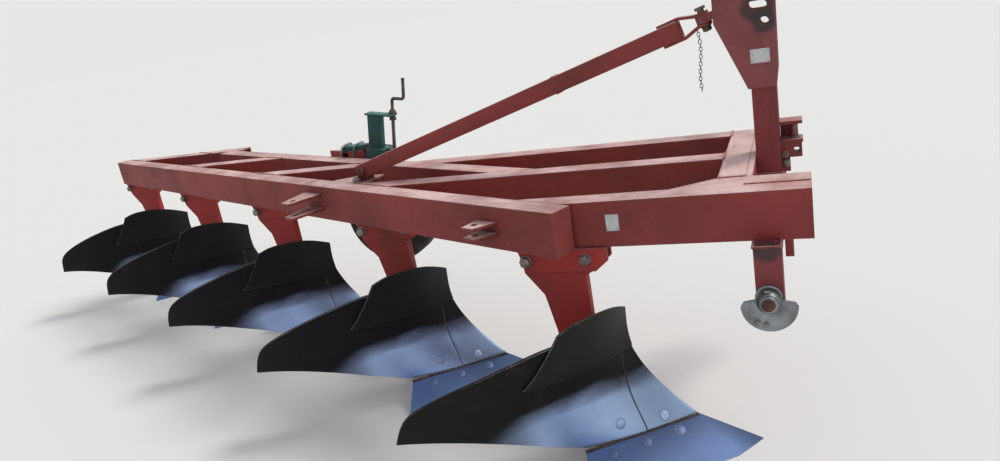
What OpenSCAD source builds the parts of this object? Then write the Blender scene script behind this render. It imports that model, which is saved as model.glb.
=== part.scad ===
// Five-furrow mounted moldboard plough, right-hand, in millimetres.
// +X is the direction of travel, +Y is the land side (left), +Z is up, and the shares stand on z = 0.
// Plan places are measured from the near front top corner of the main beam, then the whole
// implement is moved so that the middle of its box stands over the origin.

/* [Bodies] */
// Distance from one body to the next along the direction of travel
body_step = 820; // [760:10:900]
// Furrow width, the sideways step from one body to the next
furrow_w = 400; // [360:10:440]
// Share point of the first body, ahead of the main beam's corner
point_x = 516; // [480:2:560]
// Land side of the first body, left of the main beam's corner
land_y = 246; // [230:2:262]
// Height of the share's upper edge
share_h = 83; // [70:1:95]
// Length of the share's upper edge
share_len = 406; // [360:2:440]
// Angle between the share and the direction of travel
share_angle = 38; // [34:0.5:44]
// Plan distance from the share's upper edge to its cutting edge
share_run = 162; // [140:2:180]
// Plan distance from the share point back to the upper edge
share_nose = 198; // [180:2:220]
// Share plate thickness
share_t = 12; // [8:1:16]
// Moldboard plate thickness
board_t = 8; // [6:0.5:10]
// Extension plate thickness
extension_t = 6; // [5:0.5:8]
// Chord from the shin to the moldboard's tail
board_len = 840; // [780:5:880]
// Height of the shin's upper end
shin_h = 335; // [300:5:360]
// Highest point of the moldboard
board_h = 527; // [500:1:545]
// Chord at which the moldboard is highest
board_peak = 450; // [420:5:480]
// Highest point of the extension plate
extension_h = 583; // [560:1:600]
// Width of the gap between share and moldboard
share_gap = 5; // [4:0.5:8]
// Landside height
landside_h = 130; // [100:5:150]
// Landside length
landside_len = 640; // [560:10:700]
// Landside thickness
landside_t = 14; // [10:1:18]

/* [Shanks] */
// Shank thickness
shank_t = 36; // [30:1:42]
// Width of the shank below its head
shank_w = 134; // [120:1:140]
// Hanger plate thickness
hanger_t = 12; // [10:1:14]
// Depth of the hanger plates below the beam
hanger_drop = 73; // [66:1:80]
// Distance between the two hanger bolts
hanger_bolts = 189; // [180:1:196]
// Shank bolt diameter
shank_bolt_d = 20; // [16:1:24]

/* [Frame] */
// Clear height under the beams
under_beam = 730; // [700:5:760]
// Width of the beams and rails
beam_w = 80; // [70:2:90]
// Height of the beams and rails
beam_h = 140; // [120:5:150]
// Length of the main beam past the last shank's rear bolt
beam_tail = 43; // [43:1:90]
// Clear distance between the main beam and the second beam
beam_gap = 247; // [230:1:260]
// Sideways step from rail to rail
rail_step = 392; // [385:1:400]
// Near side of the first rail
rail_y = 90; // [86:1:100]
// Front end of the first rail
rail_front = 693; // [660:1:720]
// Rear face of the head crossbar
head_x = 438; // [420:1:450]
// Length of the open end of the last rail
open_end = 45; // [40:5:80]
// Wall of the open tubes
tube_wall = 8; // [6:1:10]

/* [Headstock] */
// Height of the lower link pins
pin_z = 585; // [570:5:620]
// Mast height, from the lower link pins to the top link hole
mast_h = 695; // [680:1:710]
// Width of the mast post and of the hitch legs along the travel
post_w = 73; // [70:1:90]
// Distance between the shoulders of the lower link pins
link_spread = 965; // [820:1:970]
// Middle of the mast, left of the main beam's corner
mast_y = 520; // [490:2:530]
// Thickness of the flange between crossbar and headstock
flange_t = 19; // [12:1:22]
// Lower link pin diameter
link_pin_d = 36.6; // [28:0.2:36.6]
// Lower link ball diameter
link_ball_d = 64; // [56:1:68]
// Top link hole diameter
top_hole_d = 26; // [20:0.5:32]
// Thickness of the mast head plates
head_t = 12; // [10:1:15]
// Gap between the mast head plates
head_gap = 80; // [70:1:84]

/* [Depth wheel] */
// Wheel diameter
wheel_d = 480; // [460:10:520]
// Wheel width
wheel_w = 120; // [100:5:140]
// Height of the wheel's axle with the wheel raised, as parked
axle_z = 537; // [520:1:550]
// Lean of the wheel leg, its top forward
leg_tilt = 10; // [6:0.5:12]
// Width of the wheel leg
leg_w = 80; // [70:1:84]
// Height of the wheel leg above the frame's top
leg_rise = 185; // [170:5:200]

/* [Hidden] */
$fn = 32;
paint = "firebrick";
steel = "lightsteelblue";
dark_steel = "dimgray";
zinc = "silver";
wheel_green = "darkcyan";

// Clearances
seat = 0.3;
weld = 0.01;

// Frame heights and directions
beam_z = under_beam;
frame_top = under_beam + beam_h;
diag = atan2(furrow_w, body_step);
along = [-cos(diag), sin(diag)];
across = [sin(diag), cos(diag)];
second_off = beam_w + beam_gap;
bodies = 5;
far = 6000;

// Plan x at which the line at the offset off from the main beam's near face crosses the given y
function beam_x(off, y) = (off - y * across.y) / across.x;

// Near side of each rail, counted from 0
function rail_at(i) = rail_y + rail_step * i;
// The third forward rail lies clear of the fourth one
rail_3_y = rail_at(2) - 68;

// Headstock places
crossbar_front = head_x + beam_w;
post_x = crossbar_front + flange_t;
link_x = crossbar_front + 52;
top_hole_x = link_x + 17;
right_leg_y = mast_y - link_spread / 2;
left_leg_y = mast_y + link_spread / 2;
crosstube_h = 80;
top_z = pin_z + mast_h;
rail_1_w = 165;

// Share corners of a body whose share point is at [0, 0, 0]
share_dir = [-cos(share_angle), -sin(share_angle)];
share_out = [sin(share_angle), -cos(share_angle)];
share_slope = atan2(share_h, share_run);
share_front = [-share_nose, 0, share_h];
share_rear = [-share_nose + share_len * share_dir.x, share_len * share_dir.y, share_h];
wing_sweep = 0.35;
share_wing = [share_rear.x + share_run * (share_out.x + wing_sweep * share_dir.x),
    share_rear.y + share_run * (share_out.y + wing_sweep * share_dir.y), 0];
nose_edge = [share_front.x + share_run * share_out.x, share_front.y + share_run * share_out.y];
nose_reach = 38;
nose_shoulder = [nose_edge.x - nose_reach * share_dir.x, nose_edge.y - nose_reach * share_dir.y, 0];
share_back = [-share_out.x * sin(share_slope), -share_out.y * sin(share_slope), -cos(share_slope)] * share_t;

// Moldboard surface. A level line starts at the shin, on the land side plane, at heading() from
// the direction of travel, and turns back with its chord t, so the board is hollow below the
// shin and rolls over towards its tail.
twist_h = 400;
heading_low = 42.4;
heading_rise = 64;
heading_fade = 10;
turn_low = 24;
turn_rise = 69;
turn_len = 800;
shin_foot = -195;
shin_back = 210;
shin_upright = 430;
shin_power = 2;
function up(z) = (z - share_h) / twist_h;
function shin_x(z) = let (v = min(1, max(0, (z - share_h) / (shin_upright - share_h))))
    shin_foot - shin_back * (1 - pow(1 - v, shin_power));
function heading(t, z) = heading_low + heading_rise * up(z) - heading_fade * up(z) * up(z)
    - (turn_low + turn_rise * up(z)) * t / turn_len / 2;
function on_board(t, z) = [shin_x(z) - t * cos(heading(t, z)), -t * sin(heading(t, z)), z];
function unit(v) = v / norm(v);
// Normal towards the soil side
function board_normal(t, z) = let (d = 2, u = on_board(t + d, z) - on_board(t - d, z),
    v = on_board(t, z + d) - on_board(t, z - d)) unit(cross(v, u));
function off_board(t, z, d) = on_board(t, z) + d * board_normal(t, z);

// Outline of the moldboard in chord t and height z
board_foot = share_h + share_gap;
tail_h = 275;
joint_foot = 192;
joint_top = 83;
joint_power = 0.75;
joint_gap = 1;
tail_power = 1.4;
function board_low(t) = t < share_len ? board_foot
    : board_foot + (tail_h - board_foot) * sin(90 * (t - share_len) / (board_len - share_len));
function board_high(t) = t < board_peak
    ? shin_h + (board_h - shin_h) * sin(90 * (t - joint_top) / (board_peak - joint_top))
    : tail_h + 4 + (board_h - tail_h - 4)
        * sqrt(max(0, 1 - pow((t - board_peak) / (board_len - board_peak), tail_power)));
function joint_t(w) = joint_foot + (joint_top - joint_foot) * pow(w, joint_power);

// Outline of the extension plate
extension_len = 482;
extension_low_rise = 67;
extension_corner = 467;
extension_peak = 380;
extension_shoulder = 568;
extension_slant = 62;
extension_start = 5;
extension_lap = 1.5;
function extension_low(t) = shin_h + joint_gap + extension_low_rise * t / extension_len;
function extension_high(t) = t < extension_peak
    ? extension_corner + (extension_h - extension_corner) * sin(90 * t / extension_peak)
    : extension_h - (extension_h - extension_shoulder)
        * pow((t - extension_peak) / (extension_len - extension_slant - extension_peak), 2);

// Shank outline, in x back from the share point and z, with its face near the furrow at shank_y
shank_y = -152;
head_rear = -668;
head_front = -431;
head_top = under_beam - 5;
head_low = 653;
shank_front = -467;
shank_rear = shank_front - shank_w;
shank_foot = 60;
hanger_y = shank_y - hanger_t;
hanger_rear = -671;
hanger_front = -391;
rear_bolt_x = -648;
bolt_z = under_beam - 34;
last_bolt = [point_x - (bodies - 1) * body_step + rear_bolt_x, land_y + (bodies - 1) * furrow_w + shank_y];
main_len = last_bolt.x * along.x + last_bolt.y * along.y + beam_tail;

// Depth wheel: the leg leans, and its middle line meets the stub's underside level at leg_foot
stub_y = 1100;
stub_end = -1250;
stub_top = frame_top + 30;
sleeve_t = 10;
run_gap = 0.5;
leg_y = stub_y + beam_w / 2;
leg_half = leg_w / 2 + run_gap + sleeve_t;
leg_foot = [stub_end + 1 + leg_half / cos(leg_tilt), leg_y, stub_top - beam_w];
leg_axis = [sin(leg_tilt), 0, cos(leg_tilt)];
axle_back = 18;
axle_x = leg_foot.x + (axle_z - leg_foot.z) * tan(leg_tilt) - axle_back;
wheel_gap = 25;
axle_d = 40;
bearing = 0.05;

// The grid of a plate on the board's surface: low(t) and high(t) bound it, and its ends are
// given for the fraction w of its height
function board_grid(rows, cols, start, end, low, high, d) = [for (r = [0:rows]) [for (c = [0:cols])
    let (w = r / rows, t = start(w) + (end(w) - start(w)) * c / cols, z = low(t) + (high(t) - low(t)) * w)
        off_board(t, z, d)]];

// Both skins of the moldboard
board_cols = 18;
board_rows = 14;
shin_rows = 8;
function moldboard_skin(d) = board_grid(board_rows, board_cols, function (w) joint_t(w) + joint_gap,
    function (w) board_len, function (t) board_low(t), function (t) board_high(t), d);
board_front = moldboard_skin(0);
board_rear = moldboard_skin(-board_t);

// Extents in plan, which set the origin
board_points = [for (skin = [board_front, board_rear]) for (row = skin) each row];
rear_x = point_x - (bodies - 1) * body_step + min([for (p = board_points) p.x]);
right_y = land_y + min([for (p = board_points) p.y]);
left_y = land_y + (bodies - 1) * furrow_w + share_back.y;
middle = [(rail_front + rear_x) / 2, (left_y + right_y) / 2];

module in_plan() {
    translate([-middle.x, -middle.y, 0]) children();
}

module at_body(k) {
    in_plan() translate([point_x - k * body_step, land_y + k * furrow_w, 0]) children();
}

// A block from one corner to the other
module block(a, b) {
    translate(a) cube(b - a);
}

// An upright plate in an X-Z plane: outline points are [x, z], from y0 over the thickness t
module upright(points, y0, t) {
    translate([0, y0 + t, 0]) rotate([90, 0, 0]) linear_extrude(t) polygon(points);
}

// A round bar from a to b
module bar(a, b, d) {
    v = b - a;
    translate(a) rotate([0, acos(v.z / norm(v)), atan2(v.y, v.x)]) cylinder(d = d, h = norm(v));
}

// Everything beyond the line at the offset off from the main beam's near face
module beyond(off) {
    rotate(-diag) translate([-2 * far, off, -far / 2]) cube([4 * far, 2 * far, far]);
}

// Everything on the near side of that line
module before(off) {
    rotate(-diag) translate([-2 * far, off - 2 * far, -far / 2]) cube([4 * far, 2 * far, far]);
}

// Beams and rails
module diagonal_bar(off, from, to) {
    rotate(-diag) block([-to, off, beam_z], [-from, off + beam_w, frame_top]);
}

module hanger(k) {
    corner = 40;
    translate([point_x - k * body_step, land_y + k * furrow_w, 0])
        for (y = [hanger_y, shank_y + shank_t])
            difference() {
                upright([[hanger_rear, under_beam - weld], [hanger_rear + 22, under_beam - hanger_drop],
                    [hanger_front - corner, under_beam - hanger_drop], [hanger_front, under_beam - corner],
                    [hanger_front, under_beam - weld]], y, hanger_t);
                for (x = [rear_bolt_x, rear_bolt_x + hanger_bolts])
                    translate([x, y - 1, bolt_z]) rotate([-90, 0, 0])
                        cylinder(d = shank_bolt_d, h = hanger_t + 2);
            }
}

// Side lugs: distance along the beam of the root's two ends and of the tip's two ends, length,
// top, distance between the ears, and the hole's place and diameter
LUG_ROOT = 0;
LUG_TIP = 1;
LUG_LEN = 2;
LUG_TOP = 3;
LUG_STEP = 4;
LUG_HOLE = 5;
LUG_D = 6;
lug_t = 10;
lugs = [
    [[242, 330], [272, 324], 77, frame_top - 50, 34, [300, 42], 22],
    [[1293, 1418], [1296, 1356], 150, frame_top - 30, 60, [1332, 110], 26]
];
module side_lug(lug) {
    rotate(-diag)
        for (z = [lug[LUG_TOP] - lug_t, lug[LUG_TOP] - lug_t - lug[LUG_STEP]])
            difference() {
                translate([0, 0, z]) linear_extrude(lug_t)
                    polygon([[-lug[LUG_ROOT][0], 0], [-lug[LUG_ROOT][1], 0],
                        [-lug[LUG_TIP][1], -lug[LUG_LEN]], [-lug[LUG_TIP][0], -lug[LUG_LEN]]]);
                translate([-lug[LUG_HOLE][0], -lug[LUG_HOLE][1], z - 1])
                    cylinder(d = lug[LUG_D], h = lug_t + 2);
            }
}

module main_beam() {
    color(paint) in_plan() diagonal_bar(0, 0, main_len);
}

module hangers() {
    color(paint) in_plan()
        for (k = [0:bodies - 1])
            hanger(k);
}

module side_lugs() {
    color(paint) in_plan()
        for (lug = lugs)
            side_lug(lug);
}

module second_beam() {
    color(paint) in_plan() difference() {
        diagonal_bar(second_off, -far / 2, far / 2);
        block([-far, -far, 0], [far, rail_at(1) + beam_w, far]);
        block([-far, rail_at(4), 0], [far, far, far]);
    }
}

module rail_1() {
    flare = 130;
    color(paint) in_plan() difference() {
        union() {
            block([beam_x(beam_w, rail_y + beam_w) - 200, rail_y, beam_z],
                [rail_front, rail_y + beam_w, frame_top]);
            translate([0, 0, beam_z]) linear_extrude(beam_h)
                polygon([[head_x - flare, rail_y + beam_w - weld], [head_x, rail_y + rail_1_w],
                    [rail_front, rail_y + rail_1_w], [rail_front, rail_y + beam_w - weld]]);
        }
        before(beam_w);
    }
    color(paint) in_plan()
        block([post_x + post_w + 8, rail_y + 2, beam_z - 50],
            [post_x + post_w + 30, rail_y + 22, beam_z + 1]);
}

module rail_2() {
    color(paint) in_plan() difference() {
        block([-far / 2, rail_at(1), beam_z], [head_x, rail_at(1) + beam_w, frame_top]);
        before(beam_w);
    }
}

module rail_3() {
    color(paint) in_plan() difference() {
        block([-far / 2, rail_3_y, beam_z], [head_x, rail_3_y + beam_w, frame_top]);
        before(second_off + beam_w);
    }
}

// A rail that runs only between the two beams
module short_rail(i) {
    color(paint) in_plan() difference() {
        block([-far, rail_at(i), beam_z], [0, rail_at(i) + beam_w, frame_top]);
        before(beam_w);
        beyond(second_off);
    }
}

module rail_4() {
    short_rail(2);
}

module rail_5() {
    short_rail(3);
}

// The last rail closes the second beam and ends open past it
module rail_6() {
    end_x = beam_x(second_off + beam_w, rail_at(4)) + open_end;
    color(paint) in_plan() difference() {
        block([-far, rail_at(4), beam_z], [end_x, rail_at(4) + beam_w, frame_top]);
        before(beam_w);
        block([end_x - open_end, rail_at(4) + tube_wall, beam_z + tube_wall],
            [end_x + 1, rail_at(4) + beam_w - tube_wall, frame_top - tube_wall]);
    }
}

module head_crossbar() {
    color(paint) in_plan()
        block([head_x, rail_y + rail_1_w, beam_z], [crossbar_front, rail_3_y + beam_w, frame_top]);
}

// Headstock
module head_crosstube() {
    color(paint) in_plan() {
        block([post_x, rail_y + rail_1_w, beam_z], [post_x + post_w, left_leg_y, beam_z + crosstube_h]);
        block([crossbar_front, rail_y + rail_1_w, beam_z],
            [post_x + weld, rail_3_y + beam_w, beam_z + crosstube_h]);
        block([crossbar_front, rail_y + rail_1_w, beam_z], [post_x - seat, rail_3_y + beam_w, frame_top]);
    }
}

module mast_post() {
    color(paint) in_plan()
        block([post_x, mast_y - head_gap / 2, beam_z + crosstube_h],
            [post_x + post_w, mast_y + head_gap / 2, top_z - 90]);
}

// Two plates on the post with the top link hole and a slot above it
module mast_head() {
    head_rear = 438;
    head_front = 624;
    head_low = top_z - 196;
    head_top = top_z + 100;
    slot_rise = 48;
    slot_len = 28;
    tongue_t = fork_gap - 2 * seat;
    color(paint) in_plan() {
        for (y = [mast_y - head_gap / 2 - head_t, mast_y + head_gap / 2])
            difference() {
                upright([[post_x - 8, head_low], [post_x + post_w, head_low], [head_front, head_low + 60],
                    [head_front, head_top - 20], [head_front - 20, head_top], [head_rear, head_top],
                    [head_rear, top_z + 11]], y, head_t);
                translate([top_hole_x, y - 1, top_z]) rotate([-90, 0, 0])
                    cylinder(d = top_hole_d, h = head_t + 2);
                hull() for (x = [-slot_len / 2, slot_len / 2])
                    translate([link_x + x, y - 1, top_z + slot_rise]) rotate([-90, 0, 0])
                        cylinder(d = top_hole_d, h = head_t + 2);
            }
        translate(brace_top) rotate([0, 0, brace_turn]) rotate([90, 0, 0]) {
            translate([0, 0, -fork_gap / 2 - 20]) cylinder(d = brace_pin_d, h = fork_gap + 40);
            translate([0, 0, -tongue_t / 2]) cylinder(d = 48, h = tongue_t);
        }
        translate(brace_top) rotate([0, 0, brace_turn])
            block([0, -tongue_t / 2, -24], [head_rear + 30 - brace_top.x, tongue_t / 2, 24]);
        block([head_rear + 24, mast_y - head_gap / 2 - weld, brace_top.z - 30],
            [head_rear + 36, mast_y + head_gap / 2 + weld, brace_top.z + 30]);
    }
}

// Holder on the front of the mast: two tongues with an upright pin and a pierced box below
module mast_bracket() {
    tongue = 66;
    tongue_t = 10;
    holder_w = 64;
    top = frame_top + 90;
    color(paint) in_plan() translate([post_x + post_w, mast_y - holder_w / 2, 0]) {
        for (z = [top, top - 58])
            block([0, 0, z], [tongue, holder_w, z + tongue_t]);
        translate([tongue - 24, holder_w / 2, top - 58]) cylinder(d = 22, h = 60);
        difference() {
            block([0, 4, top - 104], [tongue - 4, holder_w - 4, top - 58 + weld]);
            translate([tongue - 20, 0, top - 84]) rotate([-90, 0, 0]) cylinder(d = 22, h = holder_w);
        }
        block([0, 10, frame_top - 60], [26, 22, top - 100]);
    }
}

// Sloping brace from the mast head back to the main beam, held by a bolt at each end
brace_top = [410, mast_y, top_z + 28];
brace_low = [-964, mast_y + 107, frame_top + 40];
brace_run = norm([brace_top.x - brace_low.x, brace_top.y - brace_low.y]);
brace_turn = atan2(brace_top.y - brace_low.y, brace_top.x - brace_low.x);
brace_w = 60;
brace_deep = 58;
brace_pin_d = 24;
brace_wall = 6;
fork_gap = 26;
fork_t = 10;
fork_len = 76;
module brace() {
    rise = atan2(brace_top.z - brace_low.z, brace_run);
    len = norm(brace_top - brace_low);
    tube_end = len - fork_len;
    straight = 20;
    color(paint) in_plan() translate(brace_low) rotate([0, -rise, brace_turn]) difference() {
        union() {
            block([-26, -brace_w / 2, -brace_deep / 2], [tube_end, brace_w / 2, brace_deep / 2]);
            for (s = [0, 1]) mirror([0, s, 0]) {
                translate([0, 0, -22]) linear_extrude(44)
                    polygon([[tube_end - 60, brace_w / 2 - 1], [tube_end - 60, brace_w / 2 + fork_t - 3],
                        [tube_end + 4, brace_w / 2 + fork_t - 3], [len - straight, fork_gap / 2 + fork_t],
                        [len, fork_gap / 2 + fork_t], [len, fork_gap / 2],
                        [len - straight - 3, fork_gap / 2], [tube_end, brace_w / 2 - 1]]);
                translate([len, fork_gap / 2 + fork_t, 0]) rotate([90, 0, 0]) cylinder(d = 44, h = fork_t);
            }
        }
        block([-27, brace_wall - brace_w / 2, -brace_deep],
            [34, brace_w / 2 - brace_wall, brace_deep / 2 - brace_wall]);
        block([tube_end - 60, brace_wall - brace_w / 2, brace_wall - brace_deep / 2],
            [tube_end + 1, brace_w / 2 - brace_wall, brace_deep / 2 - brace_wall]);
        for (x = [0, len])
            translate([x, 60, 0]) rotate([90, 0, 0]) cylinder(d = brace_pin_d + 2 * seat, h = 120);
    }
}

// Plate in the corner behind the second rail and the main beam, with a lug and the bolt that
// hold the brace's lower end
module brace_foot() {
    base_t = 10;
    lug_w = 36;
    lug_half = brace_w / 2 - brace_wall - 2 * seat;
    bolt_half = brace_w / 2 + 12;
    corner_y = rail_at(1) + beam_w;
    corner_x = beam_x(beam_w, corner_y);
    color(paint) in_plan() {
        difference() {
            translate([0, 0, frame_top - base_t]) linear_extrude(base_t)
                polygon([[corner_x + 44, corner_y], [corner_x - 172, corner_y],
                    [corner_x - 172, corner_y + 95], [corner_x - 90, corner_y + 132],
                    [corner_x + 44, corner_y + 132]]);
            before(beam_w);
        }
        translate([brace_low.x, brace_low.y, 0]) rotate([0, 0, brace_turn]) {
            block([-lug_w / 2, -lug_half, frame_top - weld], [lug_w / 2, lug_half, brace_low.z]);
            translate([0, lug_half, brace_low.z]) rotate([90, 0, 0]) cylinder(d = lug_w, h = 2 * lug_half);
            translate([0, bolt_half, brace_low.z]) rotate([90, 0, 0])
                cylinder(d = brace_pin_d, h = 2 * bolt_half);
        }
    }
}

// Hitch legs with the lower link pins
leg_low = pin_z - 45;
module hitch_leg(y0, top) {
    color(paint) in_plan() difference() {
        block([post_x, y0, leg_low], [post_x + post_w, y0 + beam_w, top]);
        translate([link_x, y0 - 1, pin_z]) rotate([-90, 0, 0])
            cylinder(d = link_pin_d + 0.1, h = beam_w + 2);
    }
}

module hitch_leg_right() {
    hitch_leg(right_leg_y, beam_z);
}

module hitch_leg_left() {
    hitch_leg(left_leg_y - beam_w, beam_z);
}

// A lower link pin that stands out sideways, dir = -1 to the right, 1 to the left
module link_pin(y0, dir) {
    stand_out = 59;
    color(zinc) in_plan() translate([link_x, y0, pin_z]) rotate([-90 * dir, 0, 0])
        translate([0, 0, -beam_w]) cylinder(d = link_pin_d, h = beam_w + stand_out);
}

module link_pin_right() {
    link_pin(right_leg_y, -1);
}

module link_pin_left() {
    link_pin(left_leg_y, 1);
}

// Link ball with its half-moon guide
module link_guide(y0, dir) {
    ball_w = 45;
    guide_r = 75;
    guide_t = 8;
    collar_d = 74;
    collar_t = 6;
    color(zinc) in_plan() translate([link_x, y0 + dir * seat, pin_z]) rotate([-90 * dir, 0, 0]) difference() {
        union() {
            translate([0, 0, ball_w / 2]) intersection() {
                sphere(d = link_ball_d);
                translate([-far / 2, -far / 2, -ball_w / 2]) cube([far, far, ball_w]);
            }
            cylinder(d = collar_d, h = collar_t);
            translate([0, 0, ball_w - weld]) difference() {
                cylinder(r = guide_r, h = guide_t);
                translate([-guide_r - 1, dir > 0 ? -guide_r - 1 : 12, -1])
                    cube([2 * guide_r + 2, guide_r - 11, guide_t + 2]);
            }
        }
        translate([0, 0, -1]) cylinder(d = link_pin_d + 0.1, h = ball_w + guide_t + 2);
    }
}

module link_guide_right() {
    link_guide(right_leg_y, -1);
}

module link_guide_left() {
    link_guide(left_leg_y, 1);
}

// A closed shell between two grids of points, both with the same rows and columns
module shell(front, back) {
    rows = len(front);
    cols = len(front[0]);
    n = rows * cols;
    id = function (r, c) r * cols + c;
    points = concat([for (row = front) each row], [for (row = back) each row]);
    skin = [for (r = [0:rows - 2]) for (c = [0:cols - 2])
        each [[id(r, c), id(r + 1, c + 1), id(r + 1, c)], [id(r, c), id(r, c + 1), id(r + 1, c + 1)]]];
    rim = concat([for (c = [0:cols - 1]) id(0, c)], [for (r = [1:rows - 1]) id(r, cols - 1)],
        [for (c = [cols - 2:-1:0]) id(rows - 1, c)], [for (r = [rows - 2:-1:1]) id(r, 0)]);
    m = len(rim);
    polyhedron(points, concat(skin, [for (f = skin) [f[2] + n, f[1] + n, f[0] + n]],
        [for (i = [0:m - 1]) each let (a = rim[i], b = rim[(i + 1) % m])
            [[a, b + n, b], [a, a + n, b + n]]]));
}

module moldboard(k) {
    color(steel) at_body(k) shell(board_front, board_rear);
}

module extension(k) {
    start = function (w) extension_start;
    end = function (w) extension_len - extension_slant * w;
    low = function (t) extension_low(t);
    high = function (t) extension_high(t);
    color(dark_steel) at_body(k)
        shell(board_grid(8, 10, start, end, low, high, extension_lap + extension_t),
            board_grid(8, 10, start, end, low, high, extension_lap));
}

module shin(k) {
    start = function (w) landside_t / 4;
    end = function (w) joint_t(w) - joint_gap;
    low = function (t) board_foot;
    high = function (t) shin_h;
    color(steel) at_body(k)
        shell(board_grid(shin_rows, 3, start, end, low, high, 0),
            board_grid(shin_rows, 3, start, end, low, high, -board_t));
}

// Share: a flat blade with its nose bent down to the point
module share(k) {
    blade = 26;
    back = [share_front + share_back, share_rear + share_back,
        share_wing + [-share_out.x, -share_out.y, 0] * blade,
        nose_shoulder + [-share_out.x, -share_out.y, 0] * blade,
        [-blade, -4, 0]];
    top = [share_front, share_rear, share_wing, nose_shoulder, [0, 0, 0]];
    color(steel) at_body(k) polyhedron(concat(top, back), [
        [0, 3, 2, 1], [0, 4, 3], [5, 6, 7, 8], [5, 8, 9],
        [0, 1, 6], [0, 6, 5], [1, 2, 7], [1, 7, 6], [2, 3, 8], [2, 8, 7], [3, 4, 9], [3, 9, 8],
        [4, 0, 5], [4, 5, 9]]);
}

module landside(k) {
    front = -share_nose - 8;
    toe = 60;
    color(dark_steel) at_body(k)
        upright([[front - toe, 0], [front - landside_len, 0], [front - landside_len, landside_h],
            [front - 2 * toe, landside_h], [front - toe, 30]], -landside_t, landside_t);
}

// Shank with its frog: the curved seat behind the plates, the side that carries the landside,
// the bed under the share and the stay to the moldboard's tail
module shank(k) {
    side_in = -landside_t - seat;
    side_t = 20;
    seat_t = 18;
    frog_off = -board_t - 0.9;
    start = function (w) 30;
    end = function (w) 235;
    low = function (t) share_h + 14;
    high = function (t) shin_h - 20;
    stay_t = 560;
    stay_z = 330;
    n = board_normal(stay_t, stay_z);
    pad = on_board(stay_t, stay_z) + frog_off * n;
    color(paint) at_body(k) {
        difference() {
            upright([[head_rear, head_top], [head_rear + 6, head_low], [shank_rear - 7, head_low - 74],
                [shank_rear - 1, head_low - 104], [shank_rear + 17, head_low - 199],
                [shank_rear + 31, shank_foot], [shank_front - 3, shank_foot],
                [shank_front + 22, shank_foot + 120], [shank_front, shank_foot + 240],
                [shank_front, head_low - 13], [head_front, head_low + 7], [head_front, head_top]],
                shank_y + seat, shank_t - 2 * seat);
            for (x = [rear_bolt_x, rear_bolt_x + hanger_bolts])
                translate([x, shank_y - 1, bolt_z]) rotate([-90, 0, 0])
                    cylinder(d = shank_bolt_d, h = shank_t + 2);
        }
        shell(board_grid(8, 10, start, end, low, high, frog_off),
            board_grid(8, 10, start, end, low, high, frog_off - seat_t));
        upright([[-560, 20], [-300, 20], [-290, 90], [-420, 300], [-480, 300], [-500, 150], [-560, 130]],
            side_in - side_t, side_t);
        block([-560, shank_y + 10, 60], [-480, side_in - 2, 100]);
        translate(share_front) rotate([0, share_slope, -(90 - share_angle)])
            translate([-34, -330, -share_t - seat - 14]) cube([108, 290, 14]);
        bar(pad, pad - 24 * n, 40);
        bar(pad - 20 * n, [-540, shank_y + shank_t / 2, 400], 24);
    }
}

// Depth wheel
module wheel_stub() {
    color(paint) in_plan() difference() {
        block([-far / 2, stub_y, stub_top - beam_w], [stub_end, stub_y + beam_w, stub_top]);
        before(second_off + beam_w);
        block([stub_end - 150, stub_y + tube_wall, stub_top - beam_w + tube_wall],
            [stub_end + 1, stub_y + beam_w - tube_wall, stub_top - tube_wall]);
    }
}

// The leaning frame of the wheel leg: its z runs along the leg, from leg_foot
module leaning() {
    in_plan() translate(leg_foot) rotate([0, leg_tilt, 0]) children();
}

spindle_d = 20;
spindle_x = leg_half + 26;
leg_top = (frame_top + leg_rise - leg_foot.z) / cos(leg_tilt);
sleeve_top = beam_w + 28;
sleeve_low = -70;
module wheel_clamp() {
    hole = leg_half - sleeve_t;
    plate_t = 14;
    plate_end = stub_end + 1 + (beam_w + plate_t) * tan(leg_tilt) + sleeve_t / 2;
    color(wheel_green) {
        leaning() difference() {
            union() {
                block([-leg_half, -leg_half, sleeve_low], [leg_half, leg_half, sleeve_top]);
                block([leg_half - weld, -22, sleeve_top - 60], [spindle_x + 20, 22, sleeve_top - 20]);
            }
            block([-hole, -hole, sleeve_low - 1], [hole, hole, sleeve_top + 1]);
            translate([spindle_x, 0, sleeve_top - 61]) cylinder(d = spindle_d + 2 * run_gap, h = 42);
        }
        in_plan() block([stub_end - 150, stub_y, stub_top], [plate_end, stub_y + beam_w, stub_top + plate_t]);
    }
}

module wheel_leg() {
    cap_t = 10;
    reach = (leg_foot.z - axle_z) / cos(leg_tilt);
    color(wheel_green) {
        leaning() {
            block([-leg_w / 2, -leg_w / 2, -reach - 45], [leg_w / 2, leg_w / 2, leg_top]);
            difference() {
                block([-leg_w / 2 - 12, -leg_w / 2 - 8, leg_top - weld],
                    [spindle_x + 22, leg_w / 2 + 8, leg_top + cap_t]);
                translate([spindle_x, 0, leg_top - 1]) cylinder(d = spindle_d + 2 * seat, h = cap_t + 2);
            }
        }
        in_plan() translate([axle_x, leg_y + leg_w / 2 - weld, axle_z]) rotate([-90, 0, 0]) {
            cylinder(d = 64, h = wheel_gap - 5);
            cylinder(d = axle_d, h = wheel_gap + wheel_w + 12);
        }
    }
}

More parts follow.
